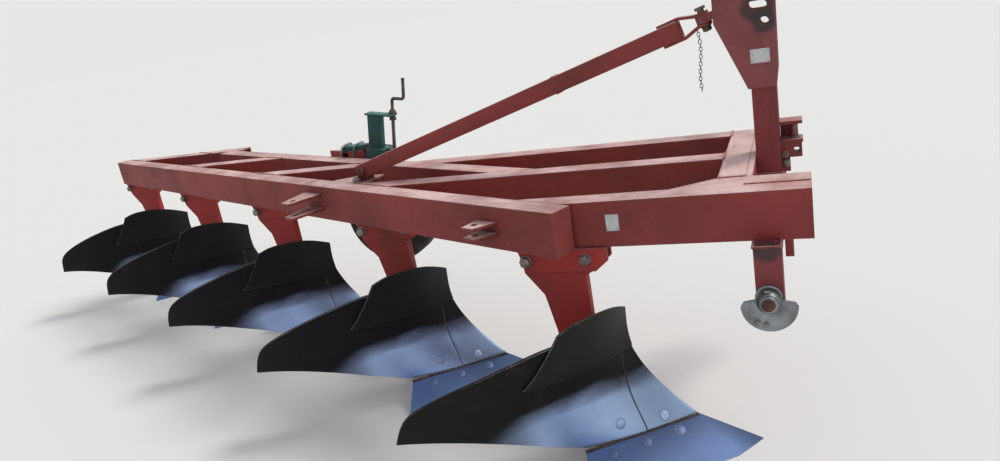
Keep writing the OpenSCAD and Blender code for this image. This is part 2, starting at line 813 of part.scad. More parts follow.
// Threaded spindle with its crank
module wheel_crank() {
    arm = 74;
    rise = 62;
    handle = 84;
    color(dark_steel) leaning() translate([spindle_x, 0, 0]) {
        translate([0, 0, sleeve_top - 90]) cylinder(d = spindle_d, h = leg_top + rise - sleeve_top + 90);
        translate([0, 0, leg_top + 10 + seat]) cylinder(d = 34, h = 12);
        translate([0, 0, leg_top + rise]) sphere(d = spindle_d);
        translate([0, 0, leg_top + rise]) rotate([0, 90, 0]) cylinder(d = spindle_d, h = arm);
        translate([arm, 0, leg_top + rise]) sphere(d = spindle_d);
        translate([arm, 0, leg_top + rise]) cylinder(d = spindle_d, h = handle);
    }
}

// Wheel with its rim, half sections of [radius, place across the wheel]
rim_r = wheel_d * 0.31;
module in_wheel() {
    in_plan() translate([axle_x, leg_y + leg_w / 2 + wheel_gap, axle_z]) rotate([-90, 0, 0]) children();
}

module wheel_rim() {
    hub_r = 42;
    shell_t = 8;
    mid = wheel_w / 2;
    color(wheel_green) in_wheel() rotate_extrude($fn = 96)
        polygon([[axle_d / 2 + bearing, 0], [hub_r, 0], [hub_r, mid - shell_t],
            [rim_r - shell_t, mid - shell_t], [rim_r - shell_t, 6], [rim_r, 6],
            [rim_r, wheel_w - 6], [rim_r - shell_t, wheel_w - 6], [rim_r - shell_t, mid + shell_t],
            [hub_r, mid + shell_t], [hub_r, wheel_w], [axle_d / 2 + bearing, wheel_w]]);
}

module wheel_tyre() {
    r = wheel_d / 2;
    shoulder = 14;
    color(dark_steel) in_wheel() rotate_extrude($fn = 96)
        polygon([[rim_r + seat, 8], [r - 40, 0], [r - shoulder, 4], [r, shoulder + 6],
            [r, wheel_w - shoulder - 6], [r - shoulder, wheel_w - 4], [r - 40, wheel_w],
            [rim_r + seat, wheel_w - 8]]);
}

main_beam();
hangers();
side_lugs();
second_beam();
rail_1();
rail_2();
rail_3();
rail_4();
rail_5();
rail_6();
head_crossbar();
head_crosstube();
wheel_stub();
mast_post();
mast_head();
mast_bracket();
brace();
brace_foot();
hitch_leg_right();
hitch_leg_left();
link_pin_right();
link_pin_left();
link_guide_right();
link_guide_left();
wheel_clamp();
wheel_leg();
wheel_crank();
wheel_rim();
wheel_tyre();
for (k = [0:bodies - 1]) {
    shank(k);
    moldboard(k);
    extension(k);
    shin(k);
    share(k);
    landside(k);
}
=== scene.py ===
"""Looks of the mounted five-furrow plough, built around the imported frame.

Places are written in the maker's datum, in millimetres: x forward and y left of the main beam's
front near corner, z above the ground. at() turns them into the frame's metres.
"""
import math
import random

import bpy
from mathutils import Matrix, Vector


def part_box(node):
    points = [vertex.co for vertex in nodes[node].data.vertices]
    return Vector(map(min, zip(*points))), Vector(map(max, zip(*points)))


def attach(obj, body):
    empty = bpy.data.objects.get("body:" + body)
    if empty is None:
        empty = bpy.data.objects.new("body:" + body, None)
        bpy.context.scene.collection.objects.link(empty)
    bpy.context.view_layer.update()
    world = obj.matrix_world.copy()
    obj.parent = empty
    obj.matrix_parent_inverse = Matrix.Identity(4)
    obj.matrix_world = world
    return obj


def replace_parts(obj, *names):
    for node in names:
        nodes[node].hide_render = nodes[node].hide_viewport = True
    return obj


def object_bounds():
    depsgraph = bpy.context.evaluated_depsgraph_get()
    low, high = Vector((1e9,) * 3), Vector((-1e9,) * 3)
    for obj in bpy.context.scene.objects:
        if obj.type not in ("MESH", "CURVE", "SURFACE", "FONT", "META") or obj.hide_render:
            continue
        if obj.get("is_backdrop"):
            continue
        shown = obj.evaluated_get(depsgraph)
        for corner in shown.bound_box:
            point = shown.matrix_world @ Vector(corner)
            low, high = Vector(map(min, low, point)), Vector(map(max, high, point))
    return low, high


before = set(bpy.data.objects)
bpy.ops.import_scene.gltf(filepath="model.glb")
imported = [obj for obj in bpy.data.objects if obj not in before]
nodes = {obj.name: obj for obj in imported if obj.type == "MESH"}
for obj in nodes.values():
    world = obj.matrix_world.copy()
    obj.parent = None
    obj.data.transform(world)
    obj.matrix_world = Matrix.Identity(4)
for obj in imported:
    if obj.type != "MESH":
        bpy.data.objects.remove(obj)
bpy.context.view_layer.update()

# Sizes shared with the solids, in millimetres
BODIES = 5
BODY_STEP = 820.0
FURROW = 400.0
POINT_X = 516.0
LAND_Y = 246.0
FRAME_TOP = 870.0
UNDER_BEAM = 730.0
BEAM_W = 80.0
POST_X = 537.0
POST_W = 73.0
LINK_X = 570.0
MAST_Y = 520.0
HEAD_X = 438.0
RAIL_Y = 90.0
RAIL_STEP = 392.0
RAIL_FRONT = 693.0
HEADSTOCK_Y = RAIL_Y + 165.0
SHARE_H = 83.0
SHARE_ANGLE = math.radians(38)
SHARE_NOSE = 198.0
SHARE_RUN = 162.0
SHANK_Y = -152.0
SHANK_T = 36.0
HANGER_T = 12.0
SECOND_OFF = 327.0
DIAGONAL = math.atan2(FURROW, BODY_STEP)
RAIL_3_Y = RAIL_Y + 2 * RAIL_STEP - 68.0
HEAD_END = 880.0
POST_HALF = 40.0
POST_FOOT = 811.0
LEG_NEAR, LEG_FAR = 38.0, 117.0
PIN_Z = 585.0
AXLE_Z = 537.0
HANGER_BOLTS = (-648, -459)

post_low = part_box("mast_post")[0]
DATUM = Vector((post_low.x - POST_X / 1000, post_low.y - (MAST_Y - POST_HALF) / 1000, 0))


def at(x, y, z):
    return DATUM + Vector((x, y, z)) / 1000


def at_body(k, x, y, z):
    return at(POINT_X - k * BODY_STEP + x, LAND_Y + k * FURROW + y, z)


# Colours and node helpers

def linear(*rgb):
    return tuple(
        (c / 255 / 12.92 if c <= 10 else ((c / 255 + 0.055) / 1.055) ** 2.4) for c in rgb
    ) + (1.0,)


class Nodes:
    """A node tree with short calls to add and join nodes."""

    def __init__(self, tree):
        self.tree = tree

    def add(self, kind, links=None, **values):
        node = self.tree.nodes.new("ShaderNode" + kind)
        for key, value in values.items():
            setattr(node, key, value)
        for key, value in (links or {}).items():
            self.put(node.inputs[key], value)
        return node

    def put(self, socket, value):
        if isinstance(value, bpy.types.NodeSocket):
            self.tree.links.new(value, socket)
        else:
            socket.default_value = value

    def feed(self, node, **values):
        """Fills the node's sockets; an underscore stands for the space in a label."""
        for key, value in values.items():
            self.put(node.inputs[key.replace("_", " ")], value)

    def math(self, operation, a, b, clamp=False):
        return self.add("Math", {0: a, 1: b}, operation=operation, use_clamp=clamp).outputs[0]

    def times(self, a, b, clamp=False):
        return self.math("MULTIPLY", a, b, clamp)

    def plus(self, a, b):
        return self.math("ADD", a, b)

    def bump(self, strength, distance, height, **more):
        links = {"Strength": strength, "Distance": distance, "Height": height, **more}
        return self.add("Bump", links).outputs[0]

    def span(self, value, low, high, out_low=0.0, out_high=1.0):
        node = self.add("MapRange", {0: value, 1: low, 2: high, 3: out_low, 4: out_high})
        node.interpolation_type = "SMOOTHSTEP"
        return node.outputs[0]

    def mix(self, factor, a, b):
        node = self.add("Mix", data_type="RGBA")
        self.put(node.inputs[0], factor)
        self.put(node.inputs[6], a)
        self.put(node.inputs[7], b)
        return node.outputs[2]

    def noise(self, vector, scale, detail=4.0, rough=0.55, distort=0.0):
        return self.add("TexNoise", {
            "Vector": vector, "Scale": scale, "Detail": detail, "Roughness": rough, "Distortion": distort,
        }).outputs["Fac"]

    def coords(self, scale=(1, 1, 1), place=(0, 0, 0)):
        source = self.add("TexCoord").outputs["Object"]
        return self.add("Mapping", {"Vector": source, "Location": place, "Scale": scale}).outputs[0]

    def drawn_out(self, turn, stretch):
        """Object coordinates turned about Z, then stretched along each axis."""
        source = self.add("TexCoord").outputs["Object"]
        return self.add("Mapping", {
            "Vector": source, "Rotation": (0, 0, turn), "Scale": stretch,
        }, vector_type="TEXTURE").outputs[0]


def new_group(name, inputs, outputs):
    tree = bpy.data.node_groups.new(name, "ShaderNodeTree")
    for label, kind, value in inputs:
        socket = tree.interface.new_socket(label, in_out="INPUT", socket_type="NodeSocket" + kind)
        socket.default_value = value
    for label, kind in outputs:
        tree.interface.new_socket(label, in_out="OUTPUT", socket_type="NodeSocket" + kind)
    net = Nodes(tree)
    return net, tree.nodes.new("NodeGroupInput").outputs, tree.nodes.new("NodeGroupOutput").inputs


def worn_edges_group():
    """Rounded corners, and a broken mask of bare metal along them."""
    net, given, out = new_group("worn_edges", [
        ("Radius", "Float", 0.006), ("Amount", "Float", 1.0), ("Breakup", "Float", 14.0),
    ], [("Wear", "Float"), ("Normal", "Vector")])
    rounded = net.add("Bevel", {"Radius": given["Radius"]}, samples=4).outputs[0]
    flat = net.add("NewGeometry").outputs["Normal"]
    dot = net.add("VectorMath", {0: rounded, 1: flat}, operation="DOT_PRODUCT").outputs["Value"]
    edge = net.span(net.math("SUBTRACT", 1.0, dot), 0.01, 0.16)
    broken = net.span(net.noise(net.coords(), given["Breakup"], 6.0, 0.7), 0.36, 0.62)
    net.put(out["Wear"], net.times(net.times(edge, broken), given["Amount"], True))
    net.put(out["Normal"], rounded)
    return net.tree


def weathering_group():
    """Masks of upward faces, for sun-bleach and painted light on tops, and of what weather does: blotches,
    specks and a fine grain.
    """
    net, given, out = new_group("weathering", [
        ("Blotch Scale", "Float", 3.0), ("Speck Scale", "Float", 60.0), ("Sun", "Float", 1.0),
    ], [("Tops_Mask", "Float"), ("Blotch", "Float"), ("Specks", "Float"), ("Grain", "Float")])
    place = net.coords()
    up = net.add("SeparateXYZ", {0: net.add("TexCoord").outputs["Normal"]}).outputs["Z"]
    soft = net.noise(place, 5.0, 8.0, 0.65)
    facing = net.span(up, 0.35, 0.95)
    uneven = net.span(soft, 0.28, 0.66, 0.35, 1.0)
    net.put(out["Tops_Mask"], net.times(net.times(facing, uneven), given["Sun"], True))
    net.put(out["Blotch"], net.span(net.noise(place, given["Blotch Scale"], 9.0, 0.62, 0.4), 0.42, 0.68))
    net.put(out["Specks"], net.span(net.noise(place, given["Speck Scale"], 3.0, 0.8), 0.60, 0.72))
    net.put(out["Grain"], net.noise(place, 220.0, 3.0, 0.6))
    return net.tree


WORN_EDGES = worn_edges_group()
WEATHERING = weathering_group()


def start_material(name):
    material = bpy.data.materials.new(name)
    material.use_nodes = True
    net = Nodes(material.node_tree)
    surface = material.node_tree.nodes["Principled BSDF"]
    return material, net, surface


def use_group(net, group, **values):
    node = net.add("Group", node_tree=group)
    net.feed(node, **values)
    return node.outputs


# Colours that the paints share: dirt, rubbed streaks, chalky streaks as bright as painted sunlight, rust
# specks, and grease that on the hitch legs also paints shadow
GRIME, RUBBED, CHALK_IN_SUNLIGHT = (92, 52, 46), (84, 38, 36), (240, 214, 208)
SPECK, GREASE_AND_SHADE = (64, 38, 30), (52, 46, 48)


def paint_material(name, paint, deep, top_colour, bare, top_strength=1.0, wear=1.0, radius=0.007, dirt=0.5, dark_spots=(),
                   turn=0.0, stretch=(9, 1, 1)):
    """Old brushed-on paint: upward faces in their own colour, painted sunlight on sun-bleached paint and,
    on the hitch legs, painted shade; dirty in blotches, worn to primer and steel at edges.
    """
    material, net, surface = start_material(name)
    weather = use_group(net, WEATHERING, Blotch_Scale=2.6, Sun=top_strength)
    edges = use_group(net, WORN_EDGES, Radius=radius, Amount=wear)
    large = net.span(net.noise(net.coords(), 1.3, 5.0, 0.6), 0.35, 0.7)
    colour = net.mix(large, linear(*paint), linear(*deep))
    # Upward faces: painted sunlight on sun-bleached paint; where their colour is darker, painted shade
    colour = net.mix(weather["Tops_Mask"], colour, linear(*top_colour))
    grime = net.times(weather["Blotch"], dirt)
    colour = net.mix(grime, colour, linear(*GRIME))
    rubbed = net.noise(net.drawn_out(turn, stretch), 30.0, 5.0, 0.7)
    colour = net.mix(net.span(rubbed, 0.56, 0.78, 0.0, 0.5), colour, linear(*RUBBED))
    # Pale chalky streaks on upward faces: chalked paint, as bright as painted sunlight
    pale = net.times(weather["Tops_Mask"], net.span(rubbed, 0.46, 0.26, 0.0, 0.7))
    colour = net.mix(pale, colour, linear(*CHALK_IN_SUNLIGHT))
    colour = net.mix(net.times(weather["Specks"], 0.55), colour, linear(*SPECK))
    colour = net.mix(edges["Wear"], colour, linear(*bare))
    # Dark patches: grease, which on the hitch legs' tops is also painted shadow of the rail above
    for place, reach in dark_spots:
        centred = net.coords(place=-place)
        away = net.add("VectorMath", {0: centred}, operation="LENGTH").outputs["Value"]
        ragged = net.plus(away, net.times(net.noise(net.coords(), 24.0, 4.0), reach * 0.5))
        dark_patch = net.span(ragged, reach * 0.9, reach * 1.35, 0.85, 0.0)
        colour = net.mix(dark_patch, colour, linear(*GREASE_AND_SHADE))
    rough = net.span(weather["Grain"], 0.3, 0.7, 0.5, 0.72)
    brush = net.noise(net.coords(scale=(1, 1, 5)), 40.0, 4.0, 0.6)
    height = net.plus(net.times(brush, 0.6), net.times(weather["Grain"], 0.4))
    net.feed(surface, Base_Color=colour, Roughness=net.plus(rough, net.times(weather["Blotch"], 0.12)),
             Specular_IOR_Level=0.4, Normal=net.bump(0.25, 0.0012, height, Normal=edges["Normal"]))
    return material


def board_material(name, bright, dark, rust, level=0.0, gloss=0.34):
    """Steel that the soil polishes, with a painted sky reflection on the polish and painted shade and dark
    reflection elsewhere: the UV map soil_flow is the chord and the height in metres.
    """
    material, net, surface = start_material(name)
    flow = net.add("UVMap", uv_map="soil_flow").outputs[0]
    split = net.add("SeparateXYZ", {0: flow})
    chord, height = split.outputs["X"], split.outputs["Y"]
    stretched = net.add("Mapping", {"Vector": flow, "Scale": (1.2, 5.0, 1.0)}).outputs[0]
    wide = net.noise(stretched, 3.0, 5.0, 0.55, 0.3)
    place = net.coords()
    # The polished zone, which carries the painted sky reflection, runs up from the share and fades towards
    # the top and the tail into the dark colour: dull steel with painted shade and dark reflection
    crest = net.math("SUBTRACT", net.span(chord, 0.0, 0.28, 0.234 + level, 0.278 + level),
                     net.span(chord, 0.42, 0.62, 0.0, 0.05))
    crest = net.plus(crest, net.times(net.math("SUBTRACT", wide, 0.5), 0.07))
    polish_and_reflection = net.span(net.math("SUBTRACT", crest, height), -0.042, 0.042)
    tail = net.plus(chord, net.times(height, 0.5))
    polish_and_reflection = net.times(polish_and_reflection, net.span(tail, 0.54, 0.74, 1.0, 0.0))
    scratch = net.add("Mapping", {"Vector": flow, "Scale": (2.0, 90.0, 1.0)}).outputs[0]
    fine = net.noise(scratch, 3.0, 4.0, 0.7)
    # The painted sky reflection, dimmer near the shin, with bluer patches
    dimmer_reflection = tuple(0.5 * c for c in linear(*bright)[:3]) + (1.0,)
    reflection_colour = net.mix(net.span(chord, 0.06, 0.34), dimmer_reflection, linear(*bright))
    bluer = net.span(net.noise(place, 6.0, 4.0, 0.5), 0.4, 0.7, 0.0, 0.2)
    reflection_colour = net.mix(bluer, reflection_colour, linear(88, 98, 142))
    colour = net.mix(polish_and_reflection, linear(*dark), reflection_colour)
    # A violet rim where the polish and its painted reflection end
    rim = net.times(polish_and_reflection, net.math("SUBTRACT", 1.0, polish_and_reflection))
    colour = net.mix(net.times(rim, 1.3, True), colour, linear(86, 76, 104))
    colour = net.mix(net.span(fine, 0.55, 0.8, 0.0, 0.22), colour, linear(52, 56, 70))
    stain = net.span(net.noise(place, 7.0, 9.0, 0.68, 0.5), 0.5, 0.72)
    away = net.math("SUBTRACT", 1.0, net.times(polish_and_reflection, 0.9))
    colour = net.mix(net.times(net.times(stain, away), 0.6), colour, linear(*rust))
    specks = net.span(net.noise(place, 90.0, 3.0, 0.8), 0.62, 0.72, 0.0, 0.5)
    colour = net.mix(net.times(specks, away), colour, linear(52, 38, 28))
    edges = use_group(net, WORN_EDGES, Radius=0.003, Amount=1.0, Breakup=5.0)
    colour = net.mix(edges["Wear"], colour, linear(188, 190, 190))
    rough = net.plus(net.span(polish_and_reflection, 0.0, 1.0, 0.58, gloss), net.times(fine, 0.12))
    relief = net.plus(net.times(fine, 0.5), net.times(net.noise(place, 4.2, 6.0, 0.6), 0.5))
    net.feed(surface, Base_Color=colour, Metallic=net.span(polish_and_reflection, 0.0, 1.0, 0.7, 0.92), Roughness=rough,
             Normal=net.bump(0.12, 0.0008, relief))
    return material


def metal_material(name, bright, dull, rust, metallic=0.85, rough=(0.35, 0.6), rusting=0.5):
    """Plain steel or zinc with dull patches and rust."""
    material, net, surface = start_material(name)
    weather = use_group(net, WEATHERING, Blotch_Scale=9.0, Speck_Scale=120.0, Sun=0.4)
    edges = use_group(net, WORN_EDGES, Radius=0.002, Amount=0.7, Breakup=30.0)
    cloud = net.noise(net.coords(), 16.0, 6.0, 0.6)
    colour = net.mix(net.span(cloud, 0.35, 0.65), linear(*bright), linear(*dull))
    colour = net.mix(net.times(weather["Blotch"], rusting), colour, linear(*rust))
    colour = net.mix(net.times(weather["Specks"], 0.6), colour, linear(70, 44, 30))
    colour = net.mix(edges["Wear"], colour, linear(176, 176, 174))
    net.feed(surface, Base_Color=colour, Roughness=net.span(cloud, 0.3, 0.7, *rough),
             Metallic=net.span(weather["Blotch"], 0.0, 1.0, metallic, metallic * 0.4),
             Normal=net.bump(0.3, 0.0006, weather["Grain"], Normal=edges["Normal"]))
    return material


def rubber_material(name):
    material, net, surface = start_material(name)
    weather = use_group(net, WEATHERING, Blotch_Scale=7.0, Sun=0.8)
    colour = net.mix(weather["Blotch"], linear(38, 36, 34), linear(66, 58, 48))
    # Upward faces lighter
    colour = net.mix(net.times(weather["Tops_Mask"], 0.5), colour, linear(112, 104, 92))
    net.feed(surface, Base_Color=colour, Roughness=net.span(weather["Grain"], 0.3, 0.7, 0.75, 0.92),
             Normal=net.bump(0.4, 0.001, weather["Grain"]))
    return material


# The frame reds are the paint darkened to how it looks in shade; their top colour paints sunlight on
# sun-bleached paint
SUNLIT_BLEACH = (216, 184, 179)
WORN = (150, 96, 88)
red_paint = paint_material("red_paint", (140, 51, 49), (120, 42, 43), SUNLIT_BLEACH, WORN, radius=0.009)
beam_paint = paint_material("beam_paint", (140, 52, 49), (122, 43, 43), SUNLIT_BLEACH, WORN, radius=0.009,
                            turn=-DIAGONAL)
cross_paint = paint_material("cross_paint", (136, 49, 50), (114, 40, 44), SUNLIT_BLEACH, WORN, radius=0.009,
                             turn=math.pi / 2)
strong_red = paint_material("strong_red", (180, 50, 46), (154, 43, 41), (184, 112, 104), (104, 88, 84),
                            top_strength=0.6, wear=1.3, radius=0.004, dirt=0.6, stretch=(1, 1, 5))
post_paint = paint_material("post_paint", (134, 54, 57), (116, 48, 52), (200, 150, 146), WORN, radius=0.005,
                            stretch=(1, 1, 9))
brace_paint = paint_material("brace_paint", (142, 56, 52), (122, 46, 45), SUNLIT_BLEACH, WORN, radius=0.005,
                             stretch=(7, 1, 7))
# The hitch legs' darker tops and their dark patch paint the shadow of rail 1 above them, with grease
leg_paint = paint_material("leg_paint", (134, 56, 60), (116, 50, 54), (96, 72, 78), WORN, top_strength=0.5,
                           radius=0.005, stretch=(1, 1, 9), dark_spots=((at(574, 40, 726), 0.045),))
mast_paint = paint_material("mast_paint", (142, 76, 79), (124, 62, 67), (206, 160, 156), (168, 128, 120),
                            radius=0.005, stretch=(1, 1, 9),
                            dark_spots=((at(587, 468, 1280), 0.04), (at(570, 468, 1326), 0.055)))
teal_paint = paint_material("teal_paint", (20, 84, 82), (34, 56, 60), (84, 140, 134), (106, 96, 88),
                            top_strength=0.7, radius=0.005, dirt=0.8, stretch=(1, 1, 6))
# Board steels: the bright colour paints a sky reflection on the polish, the dark colour paints shade and
# dark reflection on dull steel
first_board = board_material("first_board", (186, 215, 255), (16, 18, 16), (54, 46, 34))
painted_reflection_board = board_material("painted_reflection_board", (182, 208, 255), (20, 19, 24), (44, 32, 30), -0.012)
first_extension = board_material("first_extension", (92, 98, 96), (33, 32, 27), (62, 52, 38), -0.2, 0.5)
dark_extension = board_material("dark_extension", (84, 82, 92), (28, 26, 29), (48, 36, 30), -0.2, 0.5)
painted_reflection_share = board_material("painted_reflection_share", (108, 132, 178), (58, 60, 72), (84, 66, 54), 0.4, 0.5)
old_steel = metal_material("old_steel", (112, 106, 102), (70, 62, 58), (92, 56, 38))
bolt_steel = metal_material("bolt_steel", (150, 148, 146), (96, 90, 86), (104, 64, 44), rusting=0.6)
zinc = metal_material("zinc", (146, 154, 162), (108, 114, 120), (104, 78, 60), rusting=0.35)
worn_iron = metal_material("worn_iron", (128, 128, 130), (74, 73, 74), (84, 66, 56), rusting=0.5)
rusty_iron = metal_material("rusty_iron", (104, 66, 50), (78, 48, 38), (70, 38, 28), 0.4, (0.6, 0.8), 0.8)
rubber = rubber_material("rubber")
dry_soil = metal_material("dry_soil", (86, 66, 54), (52, 40, 34), (66, 48, 38), 0.0, (0.85, 0.98), 0.7)
pale_plate = metal_material("pale_plate", (202, 204, 204), (172, 174, 176), (122, 104, 92), 0.25,
                            (0.45, 0.65), 0.2)

# Finishes of the carried-over nodes

FINISHES = {
    "wheel_clamp": teal_paint, "wheel_leg": teal_paint, "wheel_rim": teal_paint, "wheel_tyre": rubber,
    "wheel_crank": old_steel, "landside": old_steel, "link_pin": zinc, "link_guide": zinc,
    "mast_head": mast_paint, "mast_post": post_paint, "mast_bracket": post_paint, "hitch_leg": leg_paint,
    "main_beam": beam_paint, "second_beam": beam_paint, "side_lugs": beam_paint,
    "head_crossbar": cross_paint, "head_crosstube": cross_paint, "hangers": strong_red, "shank": strong_red,
}
for name, node in nodes.items():
    finish = FINISHES.get(name) or FINISHES.get(name.rsplit("_", 1)[0], red_paint)
    node.data.materials.clear()
    node.data.materials.append(finish)

# Modelling helpers


def mode(kind):
    bpy.ops.object.mode_set(mode=kind)


def deselect():
    if bpy.context.object and bpy.context.object.mode != "OBJECT":
        mode("OBJECT")
    bpy.ops.object.select_all(action="DESELECT")


def hold(piece):
    """Makes the piece the only selected object and the active one."""
    deselect()
    piece.select_set(True)
    bpy.context.view_layer.objects.active = piece
    return piece


def edit(piece, select="FACE"):
    hold(piece)
    mode("EDIT")
    bpy.ops.mesh.select_mode(type=select)
    bpy.ops.mesh.select_all(action="DESELECT")
    mode("OBJECT")


def pick_faces(piece, test):
    """Selects the faces that pass the test, and goes into edit mode."""
    edit(piece)
    for face in piece.data.polygons:
        face.select = test(face)
    mode("EDIT")


def modify(piece, kind, **values):
    modifier = piece.modifiers.new(kind.lower(), kind)
    for key, value in values.items():
        setattr(modifier, key, value)
    hold(piece)
    bpy.ops.object.modifier_apply(modifier=modifier.name)
    return piece


def bevel(piece, width, segments=2, **more):
    return modify(piece, "BEVEL", width=width, segments=segments, limit_method="ANGLE", **more)


def smooth(piece, angle=35):
    hold(piece)
    bpy.ops.object.shade_smooth_by_angle(angle=math.radians(angle))
    return piece


def join(pieces):
    deselect()
    for piece in pieces:
        piece.select_set(True)
    bpy.context.view_layer.objects.active = pieces[0]
    bpy.ops.object.join()
    return bpy.context.view_layer.objects.active


def applied(piece):
    """The piece, with its place, turn and scale put into its mesh."""
    hold(piece)
    bpy.ops.object.transform_apply(location=True, rotation=True, scale=True)
    return piece


def settle(piece, name, finish, body="plough"):
    """Puts the piece's place into its mesh, names it and lets it ride."""
    applied(piece)
    piece.name = piece.data.name = name
    piece.data.materials.clear()
    piece.data.materials.append(finish)
    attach(piece, body)
    return piece


def turned(place, towards, spin=0.0):
    """A matrix that stands a master, modelled along +Z, at the place and towards a direction."""
    turn = Vector(towards).to_track_quat("Z", "Y").to_matrix().to_4x4()
    return Matrix.Translation(place) @ turn @ Matrix.Rotation(spin, 4, "Z")


def new_object(name, data):
    piece = bpy.data.objects.new(name, data)
    bpy.context.scene.collection.objects.link(piece)
    return piece


def copies(master, places):
    """One piece out of copies of a master, which is then removed."""
    made = []
    for matrix in places:
        made.append(new_object("copy", master.data.copy()))
        made[-1].data.transform(matrix)
    bpy.data.objects.remove(master)
    return join(made)


def drum(vertices, radius, low, high):
    """A cylinder about Z between two heights, in metres."""
    bpy.ops.mesh.primitive_cylinder_add(vertices=vertices, radius=radius, depth=high - low,
                                        location=(0, 0, (low + high) / 2))
    return bpy.context.object


def looks_up(face):
    return face.normal.z > 0.9


def model_bolt(width, head_h, washer_d, washer_t, thread_d=0.0, thread_h=0.0):
    """A hexagon head or nut on its washer, along +Z from the face it sits on, in metres."""
    top = washer_t + head_h
    head = drum(6, width / 2 / math.cos(math.pi / 6), washer_t, top)
    pick_faces(head, looks_up)
    bpy.ops.mesh.inset(thickness=width * 0.07, depth=width * 0.04)
    mode("OBJECT")
    parts = [bevel(head, width * 0.02), bevel(drum(32, washer_d / 2, 0, washer_t), washer_t * 0.25)]
    if thread_h:
        parts.append(bevel(drum(20, thread_d / 2, top, top + thread_h), thread_d * 0.08, 1))
    return smooth(applied(join(parts)), 30)


def beads(name, lines, radius, finish=red_paint):
    """Weld beads as overlapping ripples along straight lines."""
    bpy.ops.mesh.primitive_uv_sphere_add(segments=8, ring_count=5, radius=1.0)
    master = bpy.context.object
    places = []
    chance = random.Random(len(name))
    for a, b in lines:
        run = b - a
        count = max(2, int(run.length / (radius * 1.1)))
        for i in range(count + 1):
            size = radius * chance.uniform(0.85, 1.15)
            place = a + run * (i / count)
            turn = run.to_track_quat("Z", "Y").to_matrix().to_4x4()
            places.append(Matrix.Translation(place) @ turn @ Matrix.Diagonal((size, size, size * 0.9, 1)))
    return settle(smooth(copies(master, places), 50), name, finish)


def new_piece(name, points, edges, faces):
    mesh = bpy.data.meshes.new(name)
    mesh.from_pydata(points, edges, faces)
    return new_object(name, mesh)


def open_whole(piece):
    """Goes into edit mode with the whole mesh selected."""
    hold(piece)
    mode("EDIT")
    bpy.ops.mesh.select_all(action="SELECT")


def close_whole():
    """Turns every face outwards and leaves edit mode."""
    bpy.ops.mesh.select_all(action="SELECT")
    bpy.ops.mesh.normals_make_consistent(inside=False)
    mode("OBJECT")


def lathe(points, segments=48):
    """A turned solid about Z, in millimetres: points are (radius, height) of its closed outline."""
    count = len(points)
    piece = new_piece("turned", [(r / 1000, 0, z / 1000) for r, z in points],
                      [(i, (i + 1) % count) for i in range(count)], [])
    open_whole(piece)
    bpy.ops.mesh.spin(steps=segments, angle=2 * math.pi, center=(0, 0, 0), axis=(0, 0, 1))
    bpy.ops.mesh.select_all(action="SELECT")
    bpy.ops.mesh.remove_doubles(threshold=0.00001)
    close_whole()
    return smooth(piece, 35)


def cut_plate(points, low, high, rounding=1.0):
    """A plate cut to an outline in X and Y, from the height low to high, in millimetres."""
    corners = [(x / 1000, y / 1000, low / 1000) for x, y in points]
    piece = new_piece("cut", corners, [], [range(len(corners))])
    open_whole(piece)
    bpy.ops.mesh.extrude_region_move(TRANSFORM_OT_translate={"value": (0, 0, (high - low) / 1000)})
    close_whole()
    return smooth(bevel(piece, rounding / 1000))


def rounded_block(low, high, rounding=2.0):
    """A block from corner to corner with rounded edges, in millimetres."""
    outline = [(low[0], low[1]), (high[0], low[1]), (high[0], high[1]), (low[0], high[1])]
    return cut_plate(outline, low[2], high[2], rounding)


def rod(points, radius, bend):
    """A round bar through the points, in millimetres, bent round at each inner one."""
    points = [Vector(p) for p in points]
    path = [points[0]]
    for before, corner, after in zip(points, points[1:], points[2:]):
        a = corner + (before - corner).normalized() * bend
        b = corner + (after - corner).normalized() * bend
        for i in range(7):
            u = i / 6
            path.append(a * (1 - u) ** 2 + corner * (2 * u * (1 - u)) + b * u ** 2)
    path.append(points[-1])
    curve = bpy.data.curves.new("rod", "CURVE")
    curve.dimensions = "3D"
    spline = curve.splines.new("POLY")
    spline.points.add(len(path) - 1)
    for point, place in zip(spline.points, path):
        point.co = (*(place / 1000), 1)
    curve.bevel_depth = radius / 1000
    curve.bevel_resolution = 4
    curve.use_fill_caps = True
    hold(new_object("rod", curve))
    bpy.ops.object.convert(target="MESH")
    return smooth(bpy.context.object, 50)


def place_by(matrix, pieces):
    """Moves the meshes of the pieces by the matrix, and turns a mirrored one right side out."""
    for piece in pieces:
        piece.data.transform(matrix)
        if matrix.determinant() < 0:
            piece.data.flip_normals()
    return pieces


# Boards, extensions, shins and shares

SHIN_FOOT, SHIN_BACK, SHIN_UPRIGHT, SHIN_POWER = -195.0, 210.0, 430.0, 2.0
TWIST_H, HEADING_LOW, HEADING_RISE, HEADING_FADE = 400.0, 42.4, 64.0, 10.0
TURN_LOW, TURN_RISE, TURN_LEN = 24.0, 69.0, 800.0


def shin_x(z):
    v = min(1.0, max(0.0, (z - SHARE_H) / (SHIN_UPRIGHT - SHARE_H)))
    return SHIN_FOOT - SHIN_BACK * (1 - (1 - v) ** SHIN_POWER)


def on_board(t, z):
    up = (z - SHARE_H) / TWIST_H
    turn = (TURN_LOW + TURN_RISE * up) * t / TURN_LEN / 2
    heading = math.radians(HEADING_LOW + HEADING_RISE * up - HEADING_FADE * up * up - turn)
    return Vector((shin_x(z) - t * math.cos(heading), -t * math.sin(heading), z))


def board_normal(t, z):
    along = on_board(t + 2, z) - on_board(t - 2, z)
    upward = on_board(t, z + 2) - on_board(t, z - 2)
    return upward.cross(along).normalized()


SHARE_FLOW = 400.0


